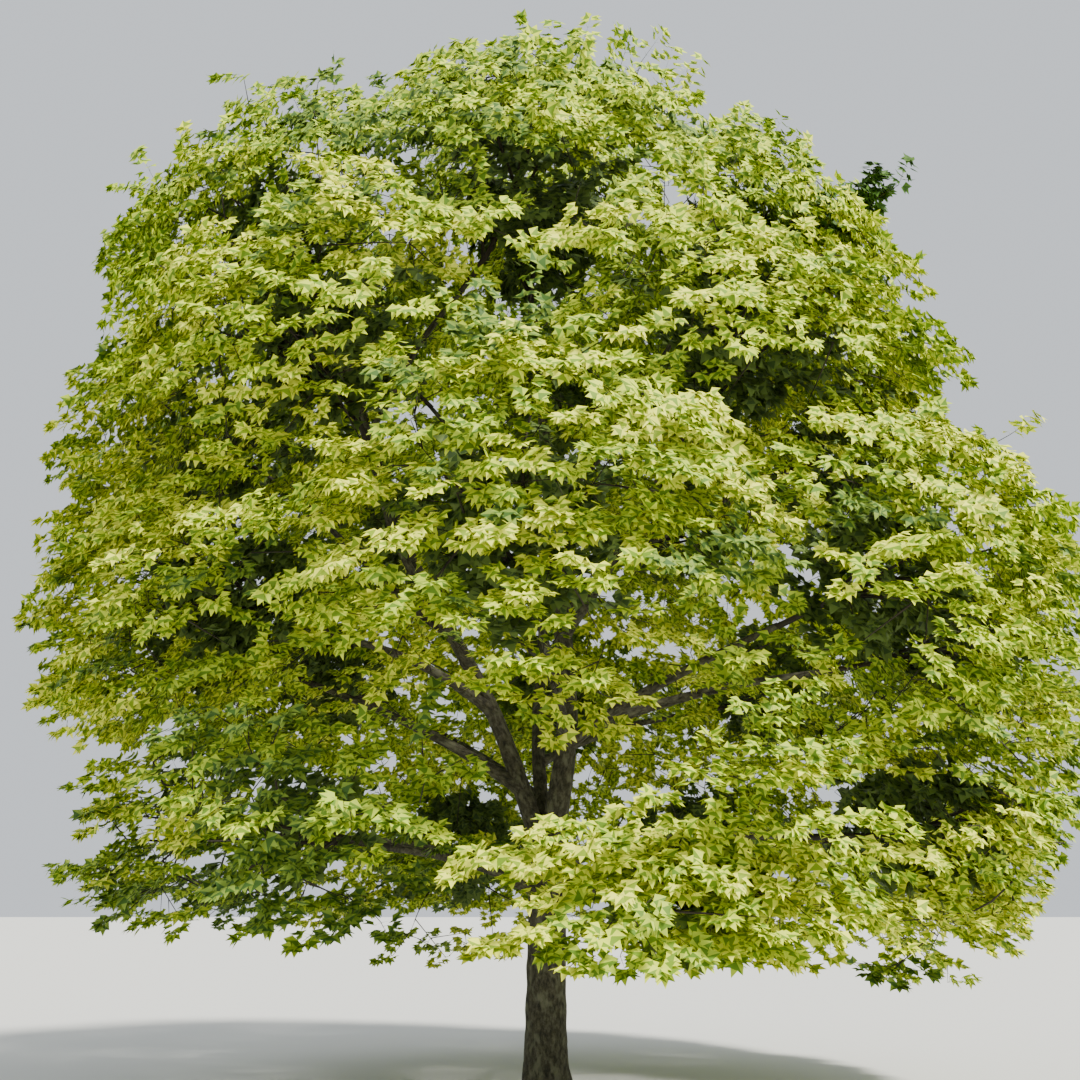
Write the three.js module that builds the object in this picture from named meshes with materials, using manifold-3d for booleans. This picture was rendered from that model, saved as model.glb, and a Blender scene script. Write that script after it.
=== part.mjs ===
// A variegated Norway maple, grown in the open and in full summer leaf. A short trunk forks into three
// main limbs, boughs leave the trunk and the limbs in tiers, and each bough ends in one mass of foliage.
// Millimetres, +Z up, with the origin at the centre of the trunk's flat cut at ground level. Bearings run
// from +X towards +Y, and the front of the tree faces -Y.

import * as THREE from "three";
import { mergeVertices } from "three/addons/utils/BufferGeometryUtils.js";
import Module from "manifold-3d";

const wasm = await Module();
wasm.setup();

// The whole tree
const TREE_HEIGHT = 9100;
const CROWN_FOOT = 1000;
const CROWN_RADIUS = 4620;
const CROWN_WAIST = 4900; // the height at which it is widest
const FOOT_DRAW_IN = 0.06; // below it, the share of the width that is lost at the foot
const FULLER_TO_RIGHT = 0.045; // share by which the +X side reaches further

// The trunk
const FORK_HEIGHT = 2050;
const TRUNK_RADIUS = 172;
const TRUNK_WAIST = 158; // just under the fork
const FLARE_REACH = 78; // how far the root flare stands out at the ground
const FLARE_RISE = 210; // the height over which it dies away
const FLARE_LOBES = 5;
const FLARE_LOBE_DEPTH = 0.3;
const TRUNK_LEAN = 25; // how far the fork stands towards +X of the foot
const FORK_SHOULDER = { height: 120, narrowing: 0.35 }; // where the trunk closes in, under the fork
const LIMB_START = 170; // how far below the fork the main limbs start, inside the trunk
const THINNING_POWER = 1.15; // wood thins quickly at first, then evenly

// Foliage: leaves here are large ones, and each stands for a spray
const SPRAY_THICKNESS = 0.034; // share of its length, at the thickest
const SPRAY_MIDDLE = 0.4; // share of its length at which it is thickest
const SPRAY_CUPPING = 0.1; // how far its lobes droop, as a share of how far out they stand
const SPRAY_ROOT_SUNK = 22; // how far back a twig's own end spray starts, inside the twig
const CORE_SHARE = 0.6; // a dense mass's inner core, as a share of its space
const CORE_UNEVENNESS = 0.16;
const SIDE_LIFT = 0.25; // how far the side sprays are lifted off the core
const SIDE_SPRAYS_AT = { first: 0.84, spread: 0.06, apart: 0.04 }; // shares of the twig
const SIDE_TURN = { least: 85, spread: 14 }; // degrees from the twig's own heading

// Where a twig's end spray has its root and its tip: the angle from straight ahead, and the share of
// the reach
const OVER_MIDDLE = { root: { angle: -22, share: 0.82 }, tip: { angle: 25, share: 0.97 } };
const TO_RIM = { root: { angle: 32, share: 0.76 }, tip: { angle: 76, share: 0.98 } };
const STEM_END = 0.22; // how far past the middle of its mass the stem runs, as a share of the half size
const STEM_BEND = 0.45; // how far along it the stem bends, as a share of its length
const STEM_RADIUS = 32;
const STEM_TAPER = 0.8;
const TWIG_RADIUS = 20;
const TWIG_TAPER = 0.75;
const TWIGS_LEAVE = { first: 0.25, spread: 0.7, step: 0.618 }; // shares of the stem, by the golden step
const TURN_JITTER = 0.3; // how unevenly the twigs stand round their stem
const FACE_OUT = 0.45; // how much the sprays face out along their own twig
const FACE_UP = 0.35; // and how much they face up
const TIDY_TOLERANCE = 9; // the slivers left where sprays cross are taken out to this

const GAP = 0.3; // clearance between pieces that meet
const LOBE_ALLOWANCE = 1.1; // how far a lobe may stand out of its egg-shaped space
const SPACE_GAP = 12; // half the clearance between neighbouring foliage
const LIMB_CLEARANCE = 35; // clearance between foliage and passing wood
const UP = new THREE.Vector3(0, 0, 1);

const BARK = { color: 0x4b4438, roughness: 0.95, metalness: 0 };
const LEAF = { roughness: 0.6, metalness: 0 };
const LEAF_COLOURS = [0xa9bd45, 0x9db53c, 0xb8c658, 0x8fab38];

const degrees = (d) => (d * Math.PI) / 180;
const vector = (x, y, z) => new THREE.Vector3(x, y, z);
const mix = (a, b, t) => a.clone().lerp(b, t);

// Random numbers from 0 to 1 that repeat for the same seed
function seeded(seed) {
  let state = seed;
  return () => {
    state = (state * 48271) % 2147483647;
    return state / 2147483647;
  };
}

// How far from the trunk's line the centre of a mass stands, so that its far side meets the head's outline.
// The centres lie on a smaller outline, set in by the half sizes of the mass.
function ringRadius(bearing, z, out, up) {
  const radius = CROWN_RADIUS * (1 + FULLER_TO_RIGHT * Math.cos(bearing)) - out;
  const below = (CROWN_WAIST - z) / (CROWN_WAIST - CROWN_FOOT);
  if (below > 0) return radius * (1 - FOOT_DRAW_IN * below);
  const level = (z - CROWN_WAIST) / (TREE_HEIGHT - up - CROWN_WAIST);
  return radius * Math.sqrt(1 - Math.min(1, level) ** 2);
}

// The tiers of foliage, from the lowest to the top. Each mass fills an egg-shaped space: out is its half
// size away from the trunk, round is its half size along the tier and up is half its thickness.
const TIERS = [
  {
    name: "lower",
    count: 8,
    first: 287,
    height: 2180,
    out: 1400,
    round: 1700,
    up: 1180,
    wander: 90,
    tilt: -10,
  },
  {
    name: "middle",
    count: 8,
    first: 270,
    height: 3850,
    out: 1400,
    round: 1750,
    up: 1400,
    wander: 110,
    tilt: 5,
  },
  {
    name: "shoulder",
    count: 6,
    first: 240,
    height: 5550,
    out: 1500,
    round: 2000,
    up: 1400,
    wander: 120,
    tilt: 20,
  },
  {
    name: "upper",
    count: 6,
    first: 210,
    height: 7100,
    out: 1400,
    round: 1750,
    up: 1250,
    wander: 90,
    tilt: 45,
  },
  {
    name: "top",
    count: 1,
    first: 180,
    height: 7850,
    out: 1600,
    round: 1600,
    up: 1250,
    wander: 0,
    tilt: 90,
  },
];
const BEARING_JITTER = 0.16; // radians, from the least to the most
const SIZE_JITTER = { least: 0.95, spread: 0.1 };
const TOP_OFFSET = 100;

// The sides of the tree: a bearing, and how the masses on that side differ from the even rings
const FRONT = degrees(270);
const FRONT_DIP = 560; // how far the lowest tier hangs down in front of the fork
const FRONT_THINNING = 0.8; // how much of its thickness it loses there
const FRONT_NARROWING = 0.25; // and of its width
const LOW_SIDE = degrees(300); // the lowest tier hangs a little lower round this bearing
const LOW_SIDE_DIP = 80;
const OPEN_SIDE = degrees(190); // the lowest tier is open, with no cores, round this bearing
const OPEN_HALF_WIDTH = degrees(60);
const OPEN_SIDE_LIFT = 200;
const OPEN_SIDE_THINNING = 0.22;
const OPEN_SIDE_DRAW_IN = 250;
const HIGH_SIDE = degrees(208); // the upper tier stands out furthest at this bearing
const HIGH_SIDE_REACH = 520;
const SLIM_SIDE = 0; // the shoulder and the upper tier are drawn in round this bearing
const SLIM_SIDE_DRAW_IN = { shoulder: 600, upper: 450 };

// How much a bearing belongs to a side of the tree, from 0 to 1
function shareOfSide(bearing, side, narrowness) {
  return Math.pow(Math.max(0, Math.cos(bearing - side)), narrowness);
}

// How far a mass stands out of the even ring, or within it where this is negative
function standingOut(tierName, bearing) {
  if (tierName === "lower") return -OPEN_SIDE_DRAW_IN * shareOfSide(bearing, OPEN_SIDE, 1);
  const high = tierName === "upper" ? HIGH_SIDE_REACH * shareOfSide(bearing, HIGH_SIDE, 4) : 0;
  return high - (SLIM_SIDE_DRAW_IN[tierName] ?? 0) * shareOfSide(bearing, SLIM_SIDE, 1);
}

// One space, with the name of the mass that fills it
function foliageSpace(tier, i, draw, order) {
  const single = tier.count === 1;
  const jitter = single ? 0 : BEARING_JITTER;
  const bearing = degrees(tier.first + (360 / tier.count) * i) + (draw() - 0.5) * jitter;
  const lowest = tier.name === "lower";
  const facing = lowest ? shareOfSide(bearing, FRONT, 6) : 0;
  const opening = lowest ? shareOfSide(bearing, OPEN_SIDE, 1) : 0;
  const lowSide = lowest ? shareOfSide(bearing, LOW_SIDE, 2) : 0;
  const size = SIZE_JITTER.least + SIZE_JITTER.spread * draw();
  const level = tier.height + (draw() - 0.5) * 2 * tier.wander;
  const height = level + OPEN_SIDE_LIFT * opening - FRONT_DIP * facing - LOW_SIDE_DIP * lowSide;
  const thickness = size * (1 - FRONT_THINNING * facing) * (1 - OPEN_SIDE_THINNING * opening);
  const width = size * (1 - FRONT_NARROWING * facing);
  const evenRing = ringRadius(bearing, tier.height, tier.out * width, tier.up);
  const ring = single ? TOP_OFFSET : evenRing + standingOut(tier.name, bearing);
  const outward = vector(Math.cos(bearing), Math.sin(bearing), 0);
  const fromOpenSide = Math.abs(Math.atan2(Math.sin(bearing - OPEN_SIDE), Math.cos(bearing - OPEN_SIDE)));
  return {
    name: single ? `${tier.name}_foliage` : `${tier.name}_foliage_${i + 1}`,
    tier: tier.name,
    outward,
    round: vector(-Math.sin(bearing), Math.cos(bearing), 0),
    tilt: degrees(tier.tilt),
    centre: outward.clone().multiplyScalar(ring).setZ(height),
    half: vector(tier.out * width, tier.round * width, tier.up * thickness),
    dense: !lowest || fromOpenSide > OPEN_HALF_WIDTH,
    seed: 1000 + order * 37,
  };
}

// The spaces of all the masses, tier by tier
function foliageSpaces() {
  const draw = seeded(7321);
  const spaces = [];
  for (const tier of TIERS) {
    for (let i = 0; i < tier.count; i++) spaces.push(foliageSpace(tier, i, draw, spaces.length));
  }
  return spaces;
}

// A direction given in a space's own terms (out, round, up), turned into the tree's
function fromSpace(space, local) {
  const turned = space.outward.clone().multiplyScalar(local.x).addScaledVector(space.round, local.y);
  return turned.addScaledVector(UP, local.z);
}

// How far a space reaches from its centre in a direction: as far as its egg shape, or to the plane halfway
// to a neighbour where that comes first
function reach(space, spaces, direction) {
  const egg =
    1 /
    Math.hypot(
      direction.dot(space.outward) / space.half.x,
      direction.dot(space.round) / space.half.y,
      direction.z / space.half.z,
    );
  return spaces.reduce((least, other) => {
    if (other.name === space.name) return least;
    const between = other.centre.clone().sub(space.centre);
    const halfway = between.length() / 2 - SPACE_GAP;
    const closing = direction.dot(between.normalize());
    return closing > 0 ? Math.min(least, halfway / closing) : least;
  }, egg);
}

// The point at a share of the reach in a direction
function within(space, spaces, direction, share) {
  return space.centre.clone().addScaledVector(direction, share * reach(space, spaces, direction));
}

// True if a point keeps to its space. A lobe may stand a little out of the egg shape, but not into a
// neighbour.
function insideSpace(point, space, spaces) {
  const from = point.clone().sub(space.centre);
  const distance = from.length();
  const direction = from.normalize();
  const roomy = { ...space, half: space.half.clone().multiplyScalar(LOBE_ALLOWANCE) };
  return distance < reach(roomy, spaces, direction);
}

// A limb is a curve with a radius at its foot and at its tip. Its rings are turned so that their first corner
// faces across, which is never along the limb.
function limb(name, points, footRadius, tipRadius, { sides, steps, across }) {
  const curve = new THREE.CatmullRomCurve3(points, false, "centripetal");
  const radiusAt = (t) => tipRadius + (footRadius - tipRadius) * Math.pow(1 - t, THINNING_POWER);
  return { name, curve, radiusAt, sides, steps, across };
}

// An upright cylinder bent to follow a limb between two places along it, with its radius from the limb, and
// grown on every side if asked
function bentCylinder(wood, from = 0, to = 1, extra = 0) {
  const steps = Math.max(1, Math.round(wood.steps * (to - from)));
  const geometry = new THREE.CylinderGeometry(1, 1, 1, wood.sides, steps);
  const rings = [];
  for (let i = 0; i <= steps; i++) {
    const t = Math.min(1, from + ((to - from) * i) / steps);
    const heading = wood.curve.getTangentAt(t);
    const side = wood.across.clone().addScaledVector(heading, -wood.across.dot(heading)).normalize();
    const stretch = i === 0 ? -extra : i === steps ? extra : 0;
    const at = wood.curve.getPointAt(t).addScaledVector(heading, stretch);
    rings.push({ t, at, side, other: heading.cross(side) });
  }
  const place = geometry.getAttribute("position");
  for (let i = 0; i < place.count; i++) {
    const ring = rings[Math.round((place.getY(i) + 0.5) * steps)];
    const around = Math.atan2(place.getZ(i), place.getX(i));
    const onAxis = Math.hypot(place.getX(i), place.getZ(i)) < 0.5;
    const radius = onAxis ? 0 : (wood.shapedRadius?.(ring.at.z, around) ?? wood.radiusAt(ring.t)) + extra;
    const p = ring.at
      .clone()
      .addScaledVector(ring.side, radius * Math.cos(around))
      .addScaledVector(ring.other, -radius * Math.sin(around));
    place.setXYZ(i, p.x, p.y, p.z);
  }
  return geometry;
}

// A closed geometry as a manifold-3d solid, facing out
function solid(geometry) {
  const bare = geometry.clone();
  bare.deleteAttribute("normal");
  bare.deleteAttribute("uv");
  const merged = mergeVertices(bare, 1e-2);
  const triVerts = new Uint32Array(merged.index.array);
  const vertProperties = new Float32Array(merged.getAttribute("position").array);
  const made = new wasm.Manifold(new wasm.Mesh({ numProp: 3, vertProperties, triVerts }));
  if (made.volume() > 0) return made;
  for (let i = 0; i < triVerts.length; i += 3) {
    [triVerts[i], triVerts[i + 1]] = [triVerts[i + 1], triVerts[i]];
  }
  return new wasm.Manifold(new wasm.Mesh({ numProp: 3, vertProperties, triVerts }));
}

// The largest body of a solid, with scraps dropped and sealed hollows filled
function oneBody(made) {
  const bodies = made.simplify(0.05).decompose();
  return bodies.reduce((best, body) => (body.volume() > best.volume() ? body : best));
}

function geometryOf(made) {
  const mesh = made.getMesh();
  const geometry = new THREE.BufferGeometry();
  geometry.setAttribute("position", new THREE.BufferAttribute(mesh.vertProperties, 3));
  geometry.setIndex(new THREE.BufferAttribute(mesh.triVerts, 1));
  geometry.computeVertexNormals();
  return geometry;
}

// Takes what lies within the gap of other wood off a solid
function carved(made, wood) {
  return wood.reduce((left, other) => left.subtract(other), made);
}

const BELOW_CUT = 60; // the trunk is drawn this much too long, and then cut flat at the ground
const TRUNK_BENDS = { low: 300, middle: 1100, middleLean: 0.4 };

// The trunk's line and its radius, which swells into ridged roots at the ground
function trunkWood() {
  const line = [
    vector(0, 0, -BELOW_CUT),
    vector(0, 0, TRUNK_BENDS.low),
    vector(TRUNK_LEAN * TRUNK_BENDS.middleLean, 0, TRUNK_BENDS.middle),
    vector(TRUNK_LEAN, 0, FORK_HEIGHT),
  ];
  const shape = { sides: 16, steps: 10, across: vector(1, 0, 0) };
  const wood = limb("trunk", line, TRUNK_RADIUS, TRUNK_WAIST, shape);
  wood.shapedRadius = (z, around) => {
    const taper = TRUNK_RADIUS + (TRUNK_WAIST - TRUNK_RADIUS) * Math.min(1, z / FORK_HEIGHT);
    const lobes = 1 + FLARE_LOBE_DEPTH * Math.cos(FLARE_LOBES * around);
    const flare = FLARE_REACH * Math.exp(-z / FLARE_RISE) * lobes;
    const closing = Math.max(0, (z - FORK_HEIGHT) / FORK_SHOULDER.height + 1);
    return (taper + flare) * (1 - FORK_SHOULDER.narrowing * closing * closing);
  };
  return wood;
}

const LIMB_STEPS = 10;
const STUB = 1 / LIMB_STEPS; // share of each main limb that is one piece with the trunk
const LIMB_TIP_DROP = 0.72; // a main limb ends this share of the half thickness below the middle of its mass
const LIMB_TIP_INWARD = 0.82; // and at this share of the middle's distance from the trunk's line
const LIMB_BOW = 0.1; // how far its bend stands outward, as a share of the tip's distance

// The three main limbs, each to the mass that it carries
function mainLimbs(spaces) {
  const fork = vector(TRUNK_LEAN, 0, FORK_HEIGHT - LIMB_START);
  const plans = [
    { name: "main_limb_right", to: "top_foliage", foot: 112, tip: 34, through: vector(200, 40, 3160) },
    { name: "main_limb_left", to: "upper_foliage_1", foot: 88, tip: 32, through: vector(-446, 60, 3180) },
    { name: "main_limb_back", to: "upper_foliage_5", foot: 70, tip: 30, through: vector(-60, 520, 2960) },
  ];
  return plans.map((plan) => {
    const space = spaces.find((s) => s.name === plan.to);
    const tip = space.centre.clone().addScaledVector(UP, -space.half.z * LIMB_TIP_DROP);
    tip.multiply(vector(LIMB_TIP_INWARD, LIMB_TIP_INWARD, 1));
    const bend = mix(plan.through, tip, 0.5).add(vector(tip.x * LIMB_BOW, tip.y * LIMB_BOW, 0));
    const shape = { sides: 8, steps: LIMB_STEPS, across: vector(1, 0, 0) };
    const wood = limb(plan.name, [fork, plan.through, bend, tip], plan.foot, plan.tip, shape);
    return { ...wood, space };
  });
}

// Where the boughs of each tier leave the trunk or a limb: the heights between which they start, how thick
// they are at the foot and the tip, and how far the middle of the bough bows up.
const BOUGHS = {
  lower: { from: 1480, to: 1960, foot: 46, tip: 24, bow: 90 },
  middle: { from: 2420, to: 3300, foot: 56, tip: 26, bow: 60 },
  shoulder: { from: 3650, to: 4700, foot: 48, tip: 24, bow: -60 },
  upper: { from: 5000, to: 5900, foot: 38, tip: 22, bow: -80 },
};

const BOUGH_STOPS_AT = 0.66; // share of a mass's reach at which its bough ends
const BOUGH_SWAY = 260; // how far apart to either side the bends of boughs stand
const THICKEST_BOUGH = 0.74; // share of its parent's radius
// The two bends of a bough: how far along it, and the share of its bow and of its sway that each takes
const BOUGH_BENDS = [
  { along: 0.3, bow: 1.1, sway: 0.5 },
  { along: 0.66, bow: 1, sway: 1 },
];

// The point on a limb at a height
function atHeight(wood, z) {
  let low = 0;
  let high = 1;
  for (let i = 0; i < 24; i++) {
    const t = (low + high) / 2;
    if (wood.curve.getPointAt(t).z < z) low = t;
    else high = t;
  }
  return { t: low, at: wood.curve.getPointAt(low) };
}

// One bough to each mass that no main limb carries
function boughs(spaces, trunk, limbs) {
  const draw = seeded(911);
  const carried = new Set(limbs.map((l) => l.space));
  const made = [];
  for (const space of spaces) {
    if (carried.has(space)) continue;
    const plan = BOUGHS[space.tier];
    const height = plan.from + (plan.to - plan.from) * draw();
    const parents = space.tier === "lower" ? [trunk] : limbs;
    const feet = parents.map((parent) => ({ parent, ...atHeight(parent, height) }));
    const foot = feet.reduce((best, f) =>
      f.at.distanceTo(space.centre) < best.at.distanceTo(space.centre) ? f : best,
    );
    const inward = foot.at.clone().sub(space.centre).normalize();
    const tip = within(space, spaces, inward, BOUGH_STOPS_AT);
    const sway = (draw() - 0.5) * BOUGH_SWAY;
    const bends = BOUGH_BENDS.map((bend) => {
      const raised = mix(foot.at, tip, bend.along).addScaledVector(UP, plan.bow * bend.bow);
      return raised.addScaledVector(space.round, sway * bend.sway);
    });
    const footRadius = Math.min(plan.foot, THICKEST_BOUGH * foot.parent.radiusAt(foot.t));
    const shape = { sides: 6, steps: 3, across: space.round };
    const name = space.name.replace("foliage", "bough");
    made.push({ ...limb(name, [foot.at, ...bends, tip], footRadius, plan.tip, shape), space });
  }
  return made;
}

// The twigs of one mass leave its stem like the ribs of a parasol held out to the light. Every twig ends in a
// spray: one lies over the middle, and the others reach from there to the rim of the space.
function twigsOf(space, spaces, wood, count) {
  const draw = seeded(space.seed);
  const foot = wood.curve.getPointAt(1);
  const heading = wood.curve.getTangentAt(1);
  const end = space.centre.clone().addScaledVector(space.outward, space.half.x * STEM_END);
  const bend = foot.clone().addScaledVector(heading, foot.distanceTo(end) * STEM_BEND);
  const stem = new THREE.QuadraticBezierCurve3(foot, bend, end);
  const light = vector(Math.cos(space.tilt), 0, Math.sin(space.tilt));
  const rise = vector(-Math.sin(space.tilt), 0, Math.cos(space.tilt));
  const firstTurn = draw() * 2 * Math.PI;
  const twigs = [];
  for (let k = 0; k < count; k++) {
    const turn = firstTurn + (k + TURN_JITTER * (draw() - 0.5)) * ((2 * Math.PI) / (count - 1));
    const rib = vector(0, Math.cos(turn), 0).addScaledVector(rise, Math.sin(turn));
    const shape = k === 0 ? OVER_MIDDLE : TO_RIM;
    const place = ({ angle, share }) => {
      const local = light.clone().multiplyScalar(Math.cos(degrees(angle)));
      local.addScaledVector(rib, Math.sin(degrees(angle)));
      return within(space, spaces, fromSpace(space, local), share);
    };
    const root = place(shape.root);
    const tip = place(shape.tip);
    const along = tip.clone().sub(root).normalize();
    const outer = fromSpace(space, light.clone().addScaledVector(rib, k === 0 ? 0 : FACE_OUT));
    const face = outer.addScaledVector(UP, FACE_UP);
    face.addScaledVector(along, -face.dot(along)).normalize();
    const leaves = TWIGS_LEAVE.first + TWIGS_LEAVE.spread * ((k * TWIGS_LEAVE.step) % 1);
    twigs.push({ start: stem.getPointAt(leaves), end: root, tip, along, face });
  }
  return { stem, twigs };
}

// Half the outline of a spray from its root to its tip, as shares of its length: the full five lobes of a
// maple leaf for a twig's end, and three lobes for its sides. Tips and notches take turns.
const FIVE_LOBES = [
  [0, 0],
  [0.06, 0.42],
  [0.29, 0.3],
  [0.56, 0.56],
  [0.62, 0.22],
  [1, 0],
];
const THREE_LOBES = [
  [0, 0],
  [0.42, 0.56],
  [0.58, 0.22],
  [1, 0],
];

// A spray, thickest in the middle and fine at its edge, with its root at the origin, pointing along +X with
// its upper side to +Z. Underneath, each lobe is one face and the middle is a fan from the root.
function sprayGeometry(half) {
  const outline = [...half, ...half.slice(1, -1).reverse().map(([x, y]) => [x, -y])];
  const points = outline.map(([x, y]) => [x, y, -SPRAY_CUPPING * Math.abs(y)]);
  const crest = points.push([SPRAY_MIDDLE, 0, SPRAY_THICKNESS]) - 1;
  const count = outline.length;
  const faces = [];
  for (let i = 0; i < count; i++) faces.push(crest, (i + 1) % count, i);
  for (let tip = 1; tip < count; tip += 2) faces.push(tip - 1, tip, (tip + 1) % count);
  for (let notch = 2; notch < count - 2; notch += 2) faces.push(0, notch, notch + 2);
  const geometry = new THREE.BufferGeometry();
  geometry.setAttribute("position", new THREE.BufferAttribute(new Float32Array(points.flat()), 3));
  geometry.setIndex(faces);
  return geometry;
}

const END_SPRAY = sprayGeometry(FIVE_LOBES);
const SIDE_SPRAY = sprayGeometry(THREE_LOBES);

// The spray geometry set with its root at a point inside a twig
function sprayAt(shape, root, along, face, length) {
  const across = face.clone().cross(along);
  const place = new THREE.Matrix4().makeBasis(along, across, face);
  place.scale(vector(length, length, length));
  place.setPosition(root);
  return shape.clone().applyMatrix4(place);
}

function straightTwig(start, end, footRadius, tipRadius) {
  const length = start.distanceTo(end);
  const geometry = new THREE.CylinderGeometry(tipRadius, footRadius, length, 3, 1);
  geometry.translate(0, length / 2, 0);
  const turn = new THREE.Quaternion().setFromUnitVectors(vector(0, 1, 0), end.clone().sub(start).normalize());
  geometry.applyQuaternion(turn);
  geometry.translate(start.x, start.y, start.z);
  return geometry;
}

// True if a point is clear of every limb's wood
function clearOfWood(point, samples) {
  return samples.every((s) => point.distanceTo(s.at) > s.radius + LIMB_CLEARANCE);
}

const SAMPLE_STEP = 40;

// Points along every limb, with the radius of the wood there
function woodSamples(woods) {
  const samples = [];
  for (const wood of woods) {
    const count = Math.ceil(wood.curve.getLength() / SAMPLE_STEP);
    for (let i = 0; i <= count; i++) {
      samples.push({ at: wood.curve.getPointAt(i / count), radius: wood.radiusAt(i / count), wood });
    }
  }
  return samples;
}

// The core of a dense mass, a little uneven
function coreGeometry(space, spaces) {
  const draw = seeded(space.seed + 5);
  const ball = new THREE.IcosahedronGeometry(1, 0).deleteAttribute("normal").deleteAttribute("uv");
  const geometry = mergeVertices(ball, 1e-3);
  const place = geometry.getAttribute("position");
  for (let i = 0; i < place.count; i++) {
    const direction = fromSpace(space, vector(place.getX(i), place.getY(i), place.getZ(i)));
    const share = CORE_SHARE * (1 + CORE_UNEVENNESS * (draw() - 0.5));
    const p = within(space, spaces, direction.normalize(), share);
    place.setXYZ(i, p.x, p.y, p.z);
  }
  return geometry;
}

const TWIGS_IN_MASS = 6;

// A spray that leaves its space or crosses another is tried again turned aside by so many degrees
const SPRAY_SWINGS = [0, 25, -25];

// One mass as a solid: stem, core, twigs and sprays, fused
function foliage(space, wood, spaces, samples, near) {
  const { stem, twigs } = twigsOf(space, spaces, wood, TWIGS_IN_MASS);
  const stemShape = { sides: 4, steps: 2, across: space.round };
  const stemPoints = [0, 0.4, 1].map((t) => stem.getPointAt(t));
  const stemWood = limb("stem", stemPoints, STEM_RADIUS, STEM_RADIUS * STEM_TAPER, stemShape);
  const pieces = [solid(bentCylinder(stemWood))];
  if (space.dense) pieces.push(solid(coreGeometry(space, spaces)));
  const fits = (geometry) => {
    const place = geometry.getAttribute("position");
    for (let i = 0; i < place.count; i++) {
      const p = vector(place.getX(i), place.getY(i), place.getZ(i));
      if (!insideSpace(p, space, spaces) || !clearOfWood(p, samples)) return false;
    }
    return true;
  };
  const draw = seeded(space.seed + 11);
  for (const twig of twigs) {
    twig.wood = solid(straightTwig(twig.start, twig.end, TWIG_RADIUS, TWIG_RADIUS * TWIG_TAPER));
    pieces.push(twig.wood);
  }
  for (const { start, end, tip, along: tipward, face: outer, wood: own } of twigs) {
    const sunk = end.clone().addScaledVector(end.clone().sub(start).normalize(), -SPRAY_ROOT_SUNK);
    const length = tip.distanceTo(sunk);
    const node = SIDE_SPRAYS_AT.first + SIDE_SPRAYS_AT.spread * draw();
    for (const hand of [0, -1, 1]) {
      const root = hand === 0 ? sunk : mix(start, end, node + SIDE_SPRAYS_AT.apart * hand);
      const turn = hand * degrees(SIDE_TURN.least + SIDE_TURN.spread * draw());
      for (const swing of SPRAY_SWINGS) {
        const along = tipward.clone().applyAxisAngle(outer, turn + degrees(swing));
        if (hand !== 0) along.addScaledVector(outer, SIDE_LIFT).normalize();
        const face = outer.clone().addScaledVector(along, -outer.dot(along)).normalize();
        const geometry = sprayAt(hand === 0 ? END_SPRAY : SIDE_SPRAY, root, along, face, length);
        if (!fits(geometry)) continue;
        const spray = solid(geometry);
        if (pieces.some((other) => other !== own && other.intersect(spray).numTri() > 0)) continue;
        pieces.push(spray);
        break;
      }
    }
  }
  const fused = wasm.Manifold.union(pieces).simplify(TIDY_TOLERANCE);
  return oneBody(carved(fused, near));
}

// Puts every sub-part into the tree, in its own mesh
function grow() {
  const tree = new THREE.Group();
  tree.name = "variegated_norway_maple";
  const bark = new THREE.MeshStandardMaterial(BARK);
  const add = (name, made, material) => {
    const mesh = new THREE.Mesh(geometryOf(made), material);
    mesh.name = name;
    tree.add(mesh);
  };

  const spaces = foliageSpaces();
  const trunk = trunkWood();
  const limbs = mainLimbs(spaces);
  const branches = boughs(spaces, trunk, limbs);

  const stubs = limbs.map((wood) => solid(bentCylinder(wood, 0, STUB)));
  const uncut = wasm.Manifold.union([solid(bentCylinder(trunk)), ...stubs]);
  add("trunk", oneBody(uncut.trimByPlane([0, 0, 1], 0)), bark);

  const grownTrunk = solid(bentCylinder(trunk, 0, 1, GAP));
  const grownLimbs = limbs.map((wood) => solid(bentCylinder(wood, 0, 1, GAP)));
  for (const wood of limbs) {
    const stubGap = GAP / wood.curve.getLength();
    const free = solid(bentCylinder(wood, STUB + stubGap, 1));
    add(wood.name, oneBody(carved(free, [grownTrunk, ...grownLimbs.slice(0, limbs.indexOf(wood))])), bark);
  }
  const grown = [grownTrunk, ...grownLimbs];
  for (const wood of branches) {
    add(wood.name, oneBody(carved(solid(bentCylinder(wood)), grown)), bark);
    grown.push(solid(bentCylinder(wood, 0, 1, GAP)));
  }

  const woods = [trunk, ...limbs, ...branches];
  const samples = woodSamples(woods);
  spaces.forEach((space, i) => {
    const wood = [...limbs, ...branches].find((w) => w.space === space);
    const color = LEAF_COLOURS[i % LEAF_COLOURS.length];
    const material = new THREE.MeshStandardMaterial({ ...LEAF, color });
    const others = samples.filter((s) => s.wood !== wood);
    add(space.name, foliage(space, wood, spaces, others, grown), material);
  });
  return tree;
}

const tree = grow();
export default tree;
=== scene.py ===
# %% [markdown]
# # A variegated Norway maple in full summer leaf
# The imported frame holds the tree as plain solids: a trunk, three main limbs, a bough for each mass
# of foliage, and the masses themselves. This lesson keeps their places and grows the real tree in
# them: bark with its relief, twigs that divide down to the shoots, and many thousand leaves.
# Everything is in metres, +Z up, with the origin at the foot of the trunk, and the side that the
# camera sees faces -Y.

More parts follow.
